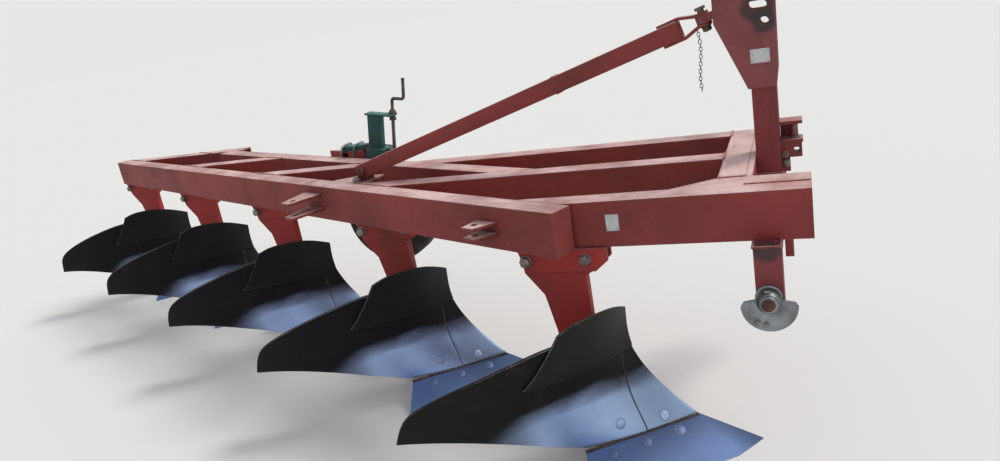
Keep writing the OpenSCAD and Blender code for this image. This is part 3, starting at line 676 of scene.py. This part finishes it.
def lay_soil_flow(piece, k, flat=False):
    """UV map in metres: the chord from the shin and the height, or the share's length and depth."""
    layer = piece.data.uv_layers.new(name="soil_flow")
    foot = at_body(k, 0, 0, 0)
    for loop in piece.data.loops:
        p = (piece.data.vertices[loop.vertex_index].co - foot) * 1000
        if flat:
            along = -(p.x + SHARE_NOSE) * math.cos(SHARE_ANGLE) - p.y * math.sin(SHARE_ANGLE)
            layer.data[loop.index].uv = (along / 1000, (SHARE_H - p.z) / SHARE_FLOW)
        else:
            chord = math.hypot(p.x - shin_x(p.z), p.y)
            layer.data[loop.index].uv = (chord / 1000, p.z / 1000)


def from_node(name):
    """A merged copy of a node's mesh, to be smoothed and put in its place."""
    piece = new_object(name + "_plate", nodes[name].data.copy())
    open_whole(piece)
    bpy.ops.mesh.remove_doubles(threshold=0.00005)
    close_whole()
    return piece


# The joint between shin and moldboard, and the line that the extension starts at
BOARD_FOOT, SHIN_TOP, BOARD_TOP, BOARD_PEAK = 88.0, 335.0, 527.0, 450.0
JOINT_FOOT, JOINT_TOP, JOINT_POWER = 192.0, 83.0, 0.75
EXTENSION_EDGE, EXTENSION_RISE, EXTENSION_PEAK = 467.0, 116.0, 380.0
PLATE_T = 8.0


def joint_t(w):
    return JOINT_FOOT + (JOINT_TOP - JOINT_FOOT) * max(0.0, w) ** JOINT_POWER


def extension_low(t):
    return SHIN_TOP + 1 + 67 * t / 482


def fit_joint(piece, k, moves, depths):
    """Slides rim points of a plate along the board: from (t, z) to (t, z), on both of its faces."""
    foot = at_body(k, 0, 0, 0)
    pairs = []
    for (t, z), (new_t, new_z) in moves:
        for d in depths:
            pairs.append((on_board(t, z) + board_normal(t, z) * d,
                          on_board(new_t, new_z) + board_normal(new_t, new_z) * d))
    for vertex in piece.data.vertices:
        p = (vertex.co - foot) * 1000
        for old, new in pairs:
            if (p - old).length < 0.5:
                vertex.co = foot + new / 1000
                break


def moldboard_moves():
    moves = []
    for r in range(15):
        w = r / 14
        t = joint_t(w) + 1
        rise = math.sin(math.pi / 2 * (t - JOINT_TOP) / (BOARD_PEAK - JOINT_TOP))
        z = BOARD_FOOT + (SHIN_TOP + (BOARD_TOP - SHIN_TOP) * rise - BOARD_FOOT) * w
        fit = joint_t((z - BOARD_FOOT) / (SHIN_TOP - BOARD_FOOT)) + 0.7
        moves.append(((t, z), (84.2, 354.0) if r == 14 else (fit, z)))
    return moves


def shin_moves():
    moves = []
    for r in range(9):
        w = r / 8
        start, end = 3.5, joint_t(w) - 1
        z = BOARD_FOOT + (SHIN_TOP - BOARD_FOOT) * w
        for c in range(4):
            t = start + (end - start) * c / 3
            shift = 9 * w ** 2 * (1 - c / 3)
            moves.append(((t, z), (t + shift, extension_low(t) + 6 if r == 8 else z)))
    return moves


def extension_moves():
    t = 5.0
    low = extension_low(t)
    high = EXTENSION_EDGE + EXTENSION_RISE * math.sin(math.pi / 2 * t / EXTENSION_PEAK)
    moves = []
    for r in range(9):
        w = r / 8
        z = low + (high - low) * w
        moves.append(((t, z), (t + 12 * (1 - w), z)))
    return moves


FITS = {"moldboard": (moldboard_moves(), (0.0, -PLATE_T)), "shin": (shin_moves(), (0.0, -PLATE_T)),
        "extension": (extension_moves(), (7.5, 1.5))}


def curved_plate(name, k, finish):
    """The node's facets made a smooth plate, its rim kept crisp with a small worn radius."""
    piece = from_node(name)
    fit_joint(piece, k, *FITS[name[:-2]])
    hold(piece)
    mode("EDIT")
    bpy.ops.mesh.select_mode(type="FACE")
    bpy.ops.mesh.select_all(action="SELECT")
    bpy.ops.mesh.tris_convert_to_quads(face_threshold=math.radians(60), shape_threshold=math.radians(180))
    bpy.ops.mesh.select_mode(type="EDGE")
    bpy.ops.mesh.select_all(action="DESELECT")
    bpy.ops.mesh.edges_select_sharp(sharpness=math.radians(40))
    bpy.ops.transform.edge_crease(value=1.0)
    mode("OBJECT")
    modify(piece, "SUBSURF", levels=2, render_levels=2)
    smooth(bevel(piece, 0.0012, angle_limit=math.radians(45)), 40)
    lay_soil_flow(piece, k)
    settle(piece, name + "_plate", finish)
    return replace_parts(piece, name)


def flat_share(name, k):
    piece = from_node(name)
    smooth(bevel(piece, 0.0025, 3, angle_limit=math.radians(20)), 30)
    lay_soil_flow(piece, k, flat=True)
    settle(piece, name + "_plate", painted_reflection_share)
    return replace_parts(piece, name)


for k in range(BODIES):
    board = painted_reflection_board if k else first_board
    curved_plate(f"moldboard_{k + 1}", k, board)
    curved_plate(f"extension_{k + 1}", k, dark_extension if k else first_extension)
    curved_plate(f"shin_{k + 1}", k, board)
    flat_share(f"share_{k + 1}", k)

# Bolts: width across flats, height, washer's width and thickness, thread's width and length
HANGER_HEAD, HANGER_NUT = (0.030, 0.013, 0.038, 0.003), (0.030, 0.016, 0.038, 0.003, 0.020, 0.010)
FOOT_NUT, FOOT_BOLT = (0.032, 0.012, 0.036, 0.003), (0.030, 0.016, 0.037, 0.003, 0.020, 0.007)
FORK_NUT, GUIDE_SCREW = (0.026, 0.012, 0.034, 0.003), (0.013, 0.006, 0.018, 0.0012)
BRACKET_NUT = (0.018, 0.008, 0.022, 0.002)
BOLT_LINE = UNDER_BEAM - 34.0

hanger_bolt_places, hanger_nut_places = [], []
for k in range(BODIES):
    for x in HANGER_BOLTS:
        near = at_body(k, x, SHANK_Y - HANGER_T, BOLT_LINE)
        far = at_body(k, x, SHANK_Y + SHANK_T + HANGER_T, BOLT_LINE)
        hanger_bolt_places.append(turned(near, (0, -1, 0), 0.3 * k + x))
        hanger_nut_places.append(turned(far, (0, 1, 0), 0.5 * k + x))
settle(copies(model_bolt(*HANGER_HEAD), hanger_bolt_places), "hanger_bolt_heads", bolt_steel)
settle(copies(model_bolt(*HANGER_NUT), hanger_nut_places), "hanger_bolt_nuts", bolt_steel)


def model_flush_bolt(radius):
    """A plough bolt's round head, worn level with the plate, inside a shallow groove."""
    head = drum(40, radius, -0.0036, 0.0004)
    pick_faces(head, looks_up)
    bpy.ops.mesh.inset(thickness=radius * 0.07, depth=-0.0003)
    bpy.ops.mesh.inset(thickness=radius * 0.05, depth=0.0004)
    mode("OBJECT")
    return smooth(bevel(applied(head), 0.0002, 1), 30)


def model_soil_ring(radius):
    """The dark line of dirt round a plough bolt's head."""
    bpy.ops.mesh.primitive_torus_add(major_radius=radius, minor_radius=0.0009, major_segments=36,
                                     minor_segments=6, location=(0, 0, 0.0002))
    ring = bpy.context.object
    ring.scale = (1, 1, 0.5)
    return smooth(applied(ring), 60)


# Plough bolts: along the share's upper edge and down its slope, and in the board's chord and height
SHARE_BOLTS = ((92, 35), (212, 35), (332, 35))
BOARD_BOLTS = ((97, 113), (236, 137))
FLUSH_R, RING_R = 0.0165, 0.0168
REFLECTION_SPOT = (0.22, 0.1)
share_slope = math.atan2(SHARE_H, SHARE_RUN)
share_along = Vector((-math.cos(SHARE_ANGLE), -math.sin(SHARE_ANGLE), 0))
share_out = Vector((math.sin(SHARE_ANGLE), -math.cos(SHARE_ANGLE), 0))
share_down = share_out * math.cos(share_slope) + Vector((0, 0, -math.sin(share_slope)))
share_normal = share_out * math.sin(share_slope) + Vector((0, 0, math.cos(share_slope)))
share_places, board_places = [], []
for k in range(BODIES):
    for along, down in SHARE_BOLTS:
        spot = Vector((-SHARE_NOSE, 0, SHARE_H)) + share_along * along + share_down * down
        share_places.append(turned(at_body(k, *spot), share_normal))
    for t, z in BOARD_BOLTS:
        board_places.append(turned(at_body(k, *on_board(t, z)), board_normal(t, z)))
for name, places, finish in (("share_bolt_heads", share_places, painted_reflection_share),
                             ("board_bolt_heads", board_places, painted_reflection_board)):
    heads = copies(model_flush_bolt(FLUSH_R), places)
    layer = heads.data.uv_layers.get("UVMap") or heads.data.uv_layers.new(name="soil_flow")
    layer.name = "soil_flow"
    # The flush heads take one spot of the polish, with its painted reflection
    for loop in heads.data.loops:
        layer.data[loop.index].uv = REFLECTION_SPOT
    settle(heads, name, finish)
rings = copies(model_soil_ring(RING_R), share_places + board_places)
settle(rings, "plough_bolt_rings", dry_soil)

# Soil caked in the gap between share and board
soil_lines = []
for k in range(BODIES):
    first = Vector((-SHARE_NOSE - 6, -6, SHARE_H - 1))
    soil_lines.append((at_body(k, *first), at_body(k, *(first + share_along * 396))))
beads("caked_soil", soil_lines, 0.006, dry_soil)

# Dirt in the joint between shin and moldboard
crumbs = random.Random(7)
joint_dirt = []
for k in range(BODIES):
    line = []
    for i in range(33):
        w = i / 32
        z = BOARD_FOOT + 2 + (SHIN_TOP - BOARD_FOOT - 4) * w
        t = joint_t(w) - 0.1 + crumbs.uniform(-0.5, 0.5)
        line.append(at_body(k, *(on_board(t, z) + board_normal(t, z) * 0.1)) * 1000)
    joint_dirt.append(rod(line, 1.5 if k else 1.8, 0.2))
settle(join(joint_dirt), "joint_dirt", dry_soil)


# Weld beads where the frame's members meet

def beam_x(off, y):
    """Where a line along the frame, off from the main beam's near face, crosses y."""
    return (off - y * math.cos(DIAGONAL)) / math.sin(DIAGONAL)


def upright_weld(x, y):
    return at(x, y, UNDER_BEAM + 6), at(x, y, FRAME_TOP)


def top_weld(x, y, to_x, to_y, z=FRAME_TOP):
    return at(x, y, z), at(to_x, to_y, z)


welds = []
for step in (1, 2, 3, 4):
    y = RAIL_Y + step * RAIL_STEP
    faces = (BEAM_W,) if step == 1 else (BEAM_W, SECOND_OFF)
    for side in (y, y + BEAM_W):
        welds += [upright_weld(beam_x(off, side), side) for off in faces]
    welds += [top_weld(beam_x(off, y), y, beam_x(off, y + BEAM_W), y + BEAM_W) for off in faces]
for y in (RAIL_Y + RAIL_STEP, RAIL_3_Y):
    welds += [upright_weld(HEAD_X, side) for side in (y, y + BEAM_W) if side < HEAD_END]
    welds.append(top_weld(HEAD_X, y, HEAD_X, y + BEAM_W))
post_near, post_end = MAST_Y - POST_HALF, POST_X + POST_W
leg_top = UNDER_BEAM - 1
welds.append(top_weld(HEAD_X + 2, HEADSTOCK_Y, HEAD_X + BEAM_W - 2, HEADSTOCK_Y))
welds.append(top_weld(POST_X, post_near, post_end, post_near, POST_FOOT))
for x in (POST_X, post_end):
    welds.append(top_weld(x, LEG_NEAR, x, LEG_FAR, leg_top))
welds.append(top_weld(POST_X, LEG_NEAR, post_end, LEG_NEAR, leg_top))
welds.append(top_weld(HEAD_X + BEAM_W + 2, RAIL_Y + BEAM_W, RAIL_FRONT - 6, RAIL_Y + BEAM_W))
beads("frame_welds", welds, 0.0045)

hanger_welds = []
for k in range(BODIES):
    y = SHANK_Y - HANGER_T
    hanger_welds.append((at_body(k, -668, y, UNDER_BEAM - 1), at_body(k, -394, y, UNDER_BEAM - 1)))
beads("hanger_welds", hanger_welds, 0.004, strong_red)

# Plates, chain and small fittings
CHEEK_T = 12.0


def blank_plate(name, low, high, face):
    """A thin riveted plate with rounded corners, on a face that looks to the near side."""
    x0, z0 = low
    x1, z1 = high
    bpy.ops.mesh.primitive_cube_add(size=1, location=at((x0 + x1) / 2, face - 0.9, (z0 + z1) / 2))
    plate = bpy.context.object
    plate.scale = ((x1 - x0) / 1000, 0.0014, (z1 - z0) / 1000)
    parts = [bevel(applied(plate), 0.004, 4)]
    for x in (x0 + 5, x1 - 5):
        for z in (z0 + 5, z1 - 5):
            bpy.ops.mesh.primitive_uv_sphere_add(segments=12, ring_count=6, radius=0.0022,
                                                 location=at(x, face - 1.6, z))
            parts.append(bpy.context.object)
    return settle(smooth(join(parts), 40), name, pale_plate)


blank_plate("rail_plate", (132, 779), (171, 830), RAIL_Y)
blank_plate("mast_plate", (541, 1160), (597, 1202), MAST_Y - POST_HALF - CHEEK_T)


def chain(name, top, count, finish):
    """Links of bent wire that hang from the place top, each turned a quarter from the last."""
    bend, wire, pitch = 0.0045, 0.0012, 0.0112
    bpy.ops.mesh.primitive_torus_add(major_radius=bend, minor_radius=wire, major_segments=16,
                                     minor_segments=8)
    link = bpy.context.object
    edit(link, "VERT")
    for vertex in link.data.vertices:
        vertex.select = vertex.co.x > 0
    mode("EDIT")
    bpy.ops.transform.translate(value=(bend, 0, 0))
    mode("OBJECT")
    smooth(link, 60)
    hang = Matrix.Rotation(math.pi / 2, 4, "Y")
    places = []
    for i in range(count):
        drift = 0.004 * math.sin(i * 0.35)
        place = top + Vector((drift, drift * 0.5, -pitch * i))
        quarter = Matrix.Rotation(math.pi / 2 * (i % 2), 4, "Z")
        places.append(Matrix.Translation(place) @ quarter @ hang)
    return settle(copies(link, places), name, finish)


chain("pin_chain", at(393, 490, 1279), 17, old_steel)

# Nuts and bolt of the brace's foot
BRACE_LOW, BRACE_TOP = Vector((-964, 627, 910)), Vector((410, 520, 1308))
brace_run = BRACE_TOP - BRACE_LOW
brace_turn = math.atan2(brace_run.y, brace_run.x)
foot_nuts = []
for side in (-1, 1):
    out = Vector((-math.sin(brace_turn), math.cos(brace_turn), 0)) * side
    foot_nuts.append(turned(at(*BRACE_LOW) + out * 0.0301, out, 0.4))
settle(copies(model_bolt(*FOOT_NUT), foot_nuts), "brace_foot_nuts", rusty_iron)
foot_bolt = turned(at(-985, 580, FRAME_TOP), (0, 0, 1))
settle(copies(model_bolt(*FOOT_BOLT), [foot_bolt]), "brace_foot_bolt", bolt_steel)

GUIDE_OFF, GUIDE_R, GUIDE_DROP = 482.5, 75.0, 21.0
PIN_R, BALL_R, BALL_OUT = 18.4, 32.0, 34.0


def link_end(name, face, side):
    """Ball on the lower link pin, with the half-moon guide plate behind it."""
    matrix = Matrix.Translation(at(LINK_X, face, PIN_Z)) @ Matrix((
        (1, 0, 0, 0), (0, 0, side, 0), (0, 1, 0, 0), (0, 0, 0, 1)))
    rim = [math.pi * (1 + i / 28) for i in range(29)]
    notch = [-math.radians(12 + 13 * i) for i in range(13)]
    outline = [(GUIDE_R * math.cos(a), -GUIDE_DROP + GUIDE_R * math.sin(a)) for a in rim]
    outline += [(68, -9), (38, -4)] + [(19 * math.cos(a), 19 * math.sin(a)) for a in notch]
    outline += [(-38, -1), (-66, -7)]
    collar = lathe([(PIN_R, 0.4), (36, 0.4), (36, 7), (33, 10), (PIN_R, 10)])
    guide = cut_plate(outline, 11, 18, 1.2)
    round_ball = [(math.sqrt(BALL_R ** 2 - (z - BALL_OUT) ** 2), z) for z in range(19, 50, 2)]
    lip = [(27, 51), (25.5, 52.6), (22.5, 52.6), (21.2, 50.4), (PIN_R, 50.4)]
    ball = lathe([(PIN_R, 19)] + round_ball + lip)
    pieces = place_by(matrix, [collar, guide, ball])
    settle(pieces[2], name + "_ball", worn_iron)
    plate = settle(join(pieces[:2]), name + "_plate", zinc)
    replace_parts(plate, name)
    end = lathe([(0, 58.6), (17.6, 58.6), (18.1, 59.6), (16, 60.6), (0, 60.9)])
    settle(place_by(matrix, [end])[0], name + "_pin_end", rusty_iron)
    ring = lathe([(18.5, 53), (23.5, 53), (24, 55), (22.5, 57.5), (18.5, 57.5)])
    peg = rod([(-9, 33, 44), (6, 33, 44)], 3.2, 1)
    settle(join(place_by(matrix, [ring, peg])), name + "_linch_pin", zinc)
    spots = [at(LINK_X + x, face + side * 18, PIN_Z + z) for x, z in ((-34, -67), (-11, -75))]
    places = [turned(spot, (0, side, 0), 0.3) for spot in spots]
    settle(copies(model_bolt(*GUIDE_SCREW), places), name + "_screws", bolt_steel)


# Pin, web and nuts of the bracket on the front of the mast
cap_pin = lathe([(0, 0), (10, 0), (11, 2), (11, 40), (9, 46), (0, 48)])
collar = lathe([(11.2, 0), (17, 0), (17, 5), (11.2, 5)], 32)
place_by(Matrix.Translation(at(post_end + 42, MAST_Y, FRAME_TOP + 42)), [cap_pin, collar])
settle(join([cap_pin, collar]), "bracket_pin", bolt_steel)
web = rounded_block(at(post_end + 1, MAST_Y + 22, FRAME_TOP + 43) * 1000,
                    at(post_end + 40, MAST_Y + 30, FRAME_TOP + 89) * 1000, 1)
settle(web, "bracket_web", post_paint)
nut_spots = [turned(at(post_end + x, MAST_Y - 28, z), (0, -1, 0), 0.2) for x, z in ((12, 866), (16, 838))]
settle(copies(model_bolt(*BRACKET_NUT), nut_spots), "bracket_nuts", bolt_steel)

link_end("link_guide_right", MAST_Y - GUIDE_OFF, -1)
link_end("link_guide_left", MAST_Y + GUIDE_OFF, 1)

# Brace, its fork and the mast head

BRACE_LEN = brace_run.length
BRACE_RISE = math.asin(brace_run.z / BRACE_LEN)
along_brace = (Matrix.Translation(at(*BRACE_LOW)) @ Matrix.Rotation(brace_turn, 4, "Z")
               @ Matrix.Rotation(-BRACE_RISE, 4, "Y"))
upright = Matrix(((1, 0, 0, 0), (0, 0, 1, 0), (0, 1, 0, 0), (0, 0, 0, 1)))
low_half = Matrix.Diagonal((1, 1, -1, 1))
TUBE_END = BRACE_LEN - 76
TUBE_Y, TUBE_Z = 30, 29
EYE_R = 11.2

tube = rounded_block((-26, -TUBE_Y, -TUBE_Z), (TUBE_END, TUBE_Y, TUBE_Z), 5)
pick_faces(tube, lambda face: abs(face.normal.x) > 0.99 and face.area > 0.001)
bpy.ops.mesh.inset(thickness=0.005, depth=0.0, use_individual=True)
bpy.ops.mesh.inset(thickness=0.0002, depth=-0.06, use_individual=True)
mode("OBJECT")
at_pin = Matrix.Translation((BRACE_LEN / 1000, 0, 0))
strap_outline = [(TUBE_END - 64, 28.8), (TUBE_END + 2, 28.8), (BRACE_LEN - 24, 13), (BRACE_LEN, 13),
                 (BRACE_LEN, 22), (BRACE_LEN - 20, 22), (TUBE_END + 6, 37.5), (TUBE_END - 64, 37.5)]
straps = []
for half in (Matrix.Identity(4), low_half):
    strap = place_by(upright, [cut_plate(strap_outline, -21, 21, 1.5)])
    eye = place_by(at_pin, [lathe([(EYE_R, 13), (21, 13), (21, 22), (EYE_R, 22)])])
    straps += place_by(half, strap + eye)
brace = join(place_by(along_brace, [tube] + straps))
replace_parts(settle(brace, "brace_tube", brace_paint), "brace")
corners = ((-TUBE_Y, -TUBE_Z), (-TUBE_Y, TUBE_Z), (TUBE_Y, TUBE_Z), (TUBE_Y, -TUBE_Z), (-TUBE_Y, -TUBE_Z))
seam = [along_brace @ Vector((0.905, y / 1000, z / 1000)) for y, z in corners]
beads("brace_seam", list(zip(seam, seam[1:])), 0.0032, brace_paint)
pin = lathe([(0, -40), (10, -40), (11, -38), (11, 30), (17, 30), (17, 37), (15, 39), (0, 39)])
place_by(at_pin, [pin])
nut = model_bolt(*FORK_NUT)
nut.data.transform(Matrix.Translation((BRACE_LEN / 1000, 0, -0.0222)) @ low_half)
nut.data.flip_normals()
settle(join(place_by(along_brace, [pin, nut])), "fork_pin", old_steel)

HEAD_LOW, HEAD_TOP = 1084.0, 1380.0
HOLE_R = 13.0
head_outline = [(POST_X - 8, HEAD_LOW), (post_end + 1, HEAD_LOW), (618, HEAD_LOW + 50),
                (620, HEAD_TOP - 20), (602, HEAD_TOP), (442, HEAD_TOP), (442, 1290)]


def hole_cutter(x, z, reach):
    """A round or long hole through both cheeks of the mast head."""
    bpy.ops.mesh.primitive_cylinder_add(vertices=48, radius=HOLE_R / 1000, depth=0.2,
                                        location=at(x, MAST_Y, z), rotation=(math.pi / 2, 0, 0))
    cutter = bpy.context.object
    if reach:
        pick_faces(cutter, lambda face: face.normal.x > 0.01)
        bpy.ops.mesh.extrude_region_move(TRANSFORM_OT_translate={"value": (reach / 1000, 0, 0)})
        mode("OBJECT")
    return cutter


parts = []
for near in (MAST_Y - POST_HALF - CHEEK_T, MAST_Y + POST_HALF):
    cheek = cut_plate(head_outline, 0, CHEEK_T, 1.2)
    parts += place_by(Matrix.Translation(at(0, near, 0)) @ upright, [cheek])
cheeks = join(parts)
for x, z, reach in ((587, 1280, 0), (LINK_X - 14, 1328, 28)):
    cutter = hole_cutter(x, z, reach)
    modify(cheeks, "BOOLEAN", object=cutter, operation="DIFFERENCE", solver="EXACT")
    bpy.data.objects.remove(cutter)
smooth(cheeks, 30)
eye = lathe([(EYE_R, -12.6), (24, -12.6), (24, 12.6), (EYE_R, 12.6)])
tongue = rounded_block((14, -20, -12.6), (70, 20, 12.6), 2)
cross = rounded_block(at(462, MAST_Y - 41, 1278) * 1000, at(474, MAST_Y + 41, 1338) * 1000, 1.5)
head = join([cheeks, cross] + place_by(along_brace @ at_pin, [eye, tongue]))
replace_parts(settle(head, "mast_cheeks", mast_paint), "mast_head")

# Depth wheel's leg, clamp and crank

LEAN = math.radians(10)
STUB_Y, STUB_END, STUB_TOP = 1100.0, -1250.0, 900.0
SLEEVE_IN, SLEEVE_OUT = 41.0, 50.5
LEG_X = STUB_END + 1 + SLEEVE_OUT / math.cos(LEAN)
LEG_FOOT = (LEG_X, STUB_Y + 40, STUB_TOP - 80)
LEG_TOP = (FRAME_TOP + 185 - LEG_FOOT[2]) / math.cos(LEAN)
LEG_REACH = (LEG_FOOT[2] - AXLE_Z) / math.cos(LEAN)
AXLE_X = LEG_X - (LEG_FOOT[2] - AXLE_Z) * math.tan(LEAN) - 18
SPINDLE_X = 76.5
lean = Matrix.Translation(at(*LEG_FOOT)) @ Matrix.Rotation(LEAN, 4, "Y")

column = rounded_block((-38, -40, 60), (28, 6, LEG_TOP), 5)
lower = rounded_block((-40, -40, -LEG_REACH - 45), (40, 40, 82), 4)
cap = rounded_block((-48, -46, LEG_TOP), (94, 12, LEG_TOP + 8), 2)
hub = lathe([(0, 0), (32, 0), (32, 20), (20, 20), (20, 157), (17, 160), (0, 160)])
hub_place = Matrix.Translation(at(AXLE_X, STUB_Y + 80, AXLE_Z)) @ Matrix.Rotation(-math.pi / 2, 4, "X")
place_by(hub_place, [hub])
leg = join(place_by(lean, [column, lower, cap]) + [hub])
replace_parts(settle(leg, "wheel_leg_column", teal_paint, "wheel_leg"), "wheel_leg")

ROOT_R, CREST_R, THREAD_LOW, THREAD_TOP, PITCH = 7.4, 8.9, 18, 220.5, 4.6
thread = [(0, THREAD_LOW)]
for i in range(44):
    thread += [(ROOT_R, THREAD_LOW + PITCH * i), (CREST_R, THREAD_LOW + PITCH / 2 + PITCH * i)]
thread += [(ROOT_R, THREAD_TOP), (0, THREAD_TOP)]
spindle = [lathe(thread, 20)]
for outline in (((8, -22), (16, -22), (16, -12), (10, -1), (8, -1)),
                ((8, 9), (20, 9), (19, 14), (10, 28), (8, 28))):
    spindle.append(lathe([(r, LEG_TOP + z) for r, z in outline], 28))
place_by(Matrix.Translation((SPINDLE_X / 1000, 0, 0)), spindle)
rise = LEG_TOP + 78
bar = rod([(SPINDLE_X, 0, 214), (SPINDLE_X, 0, rise), (SPINDLE_X + 60, 0, rise),
           (SPINDLE_X + 60, 0, rise + 96)], 7.5, 15)
crank = join(place_by(lean, spindle + [bar]))
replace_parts(settle(crank, "wheel_crank_bar", old_steel, "wheel_leg"), "wheel_crank")

walls = []
for low, high in (((-SLEEVE_OUT, -SLEEVE_OUT), (SLEEVE_OUT, -SLEEVE_IN)),
                  ((-SLEEVE_OUT, SLEEVE_IN), (SLEEVE_OUT, SLEEVE_OUT)),
                  ((-SLEEVE_OUT, -SLEEVE_IN), (-SLEEVE_IN, SLEEVE_IN)),
                  ((SLEEVE_IN, -SLEEVE_IN), (SLEEVE_OUT, SLEEVE_IN))):
    walls.append(rounded_block((*low, -70), (*high, 84), 1.5))
nut_block = rounded_block((50, -20, 40), (96, 20, 80), 4)
sleeve = place_by(lean, walls + [nut_block])
bar_low = at(STUB_END - 128, STUB_Y + 6, STUB_TOP)
bar_high = at(STUB_END + 8, STUB_Y + 56, STUB_TOP + 24)
clamp_bar = rounded_block(bar_low * 1000, bar_high * 1000, 3)
clamp = join(sleeve + [clamp_bar])
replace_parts(settle(clamp, "wheel_clamp_sleeve", teal_paint), "wheel_clamp")
hoops = []
for x in (STUB_END - 112, STUB_END - 44):
    legs = [(x - 14, STUB_Y - 5, STUB_TOP - 20), (x, STUB_Y - 5, STUB_TOP + 28),
            (x, STUB_Y + 85, STUB_TOP + 28), (x - 6, STUB_Y + 85, STUB_TOP - 74)]
    hoops.append(rod([at(*p) * 1000 for p in legs], 5.0, 22))
settle(join(hoops), "stub_hoops", zinc)

# Floor, light and camera

floor_material, net, surface = start_material("pale_floor")
net.feed(surface, Base_Color=(0.76, 0.755, 0.74, 1), Roughness=0.9, Specular_IOR_Level=0.1)
bpy.ops.mesh.primitive_plane_add(size=200, location=(0, 0, 0))
floor = bpy.context.object
floor.name = "floor"
floor.data.materials.append(floor_material)
floor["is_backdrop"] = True

world = bpy.data.worlds.new("studio")
bpy.context.scene.world = world
world.use_nodes = True
sky = Nodes(world.node_tree)
for old in list(world.node_tree.nodes):
    world.node_tree.nodes.remove(old)
path = sky.add("LightPath")
seen = sky.math("MAXIMUM", path.outputs["Is Camera Ray"], path.outputs["Is Transmission Ray"])
seen = sky.math("MAXIMUM", seen, path.outputs["Is Glossy Ray"])
light = sky.add("Background", {"Color": (0.92, 0.95, 1.0, 1), "Strength": 0.62})
shown = sky.add("Background", {"Color": (0.80, 0.80, 0.79, 1), "Strength": 1.0})
mixed = sky.add("MixShader", {0: seen, 1: light.outputs[0], 2: shown.outputs[0]})
sky.add("OutputWorld", {0: mixed.outputs[0]})

bpy.ops.object.light_add(type="SUN", location=(4, 4, 6))
key = bpy.context.object
key.name = "key_light"
key.data.energy = 1.9
key.data.angle = math.radians(22)
key.data.color = (1.0, 0.97, 0.92)
key.rotation_euler = Vector((0.62, 0.35, 0.95)).to_track_quat("Z", "Y").to_euler()

# The camera was solved from the parallel members of the frame in the photograph
RIGHT = Vector((0.92524, 0.34025, -0.16781))
DOWN = Vector((-0.04895, -0.33157, -0.94216))
FORWARD = Vector((-0.37622, 0.87994, -0.29013))
lens = bpy.data.cameras.new("camera")
lens.sensor_width = 36.0
lens.sensor_fit = "HORIZONTAL"
lens.lens = 27.541
lens.clip_end = 300
camera = new_object("camera", lens)
basis = Matrix((RIGHT, -DOWN, -FORWARD)).transposed().to_4x4()
camera.matrix_world = Matrix.Translation(at(684.85, -1984.47, 1482.56)) @ basis
bpy.context.scene.camera = camera
bpy.context.scene.view_settings.view_transform = "Standard"

low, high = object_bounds()
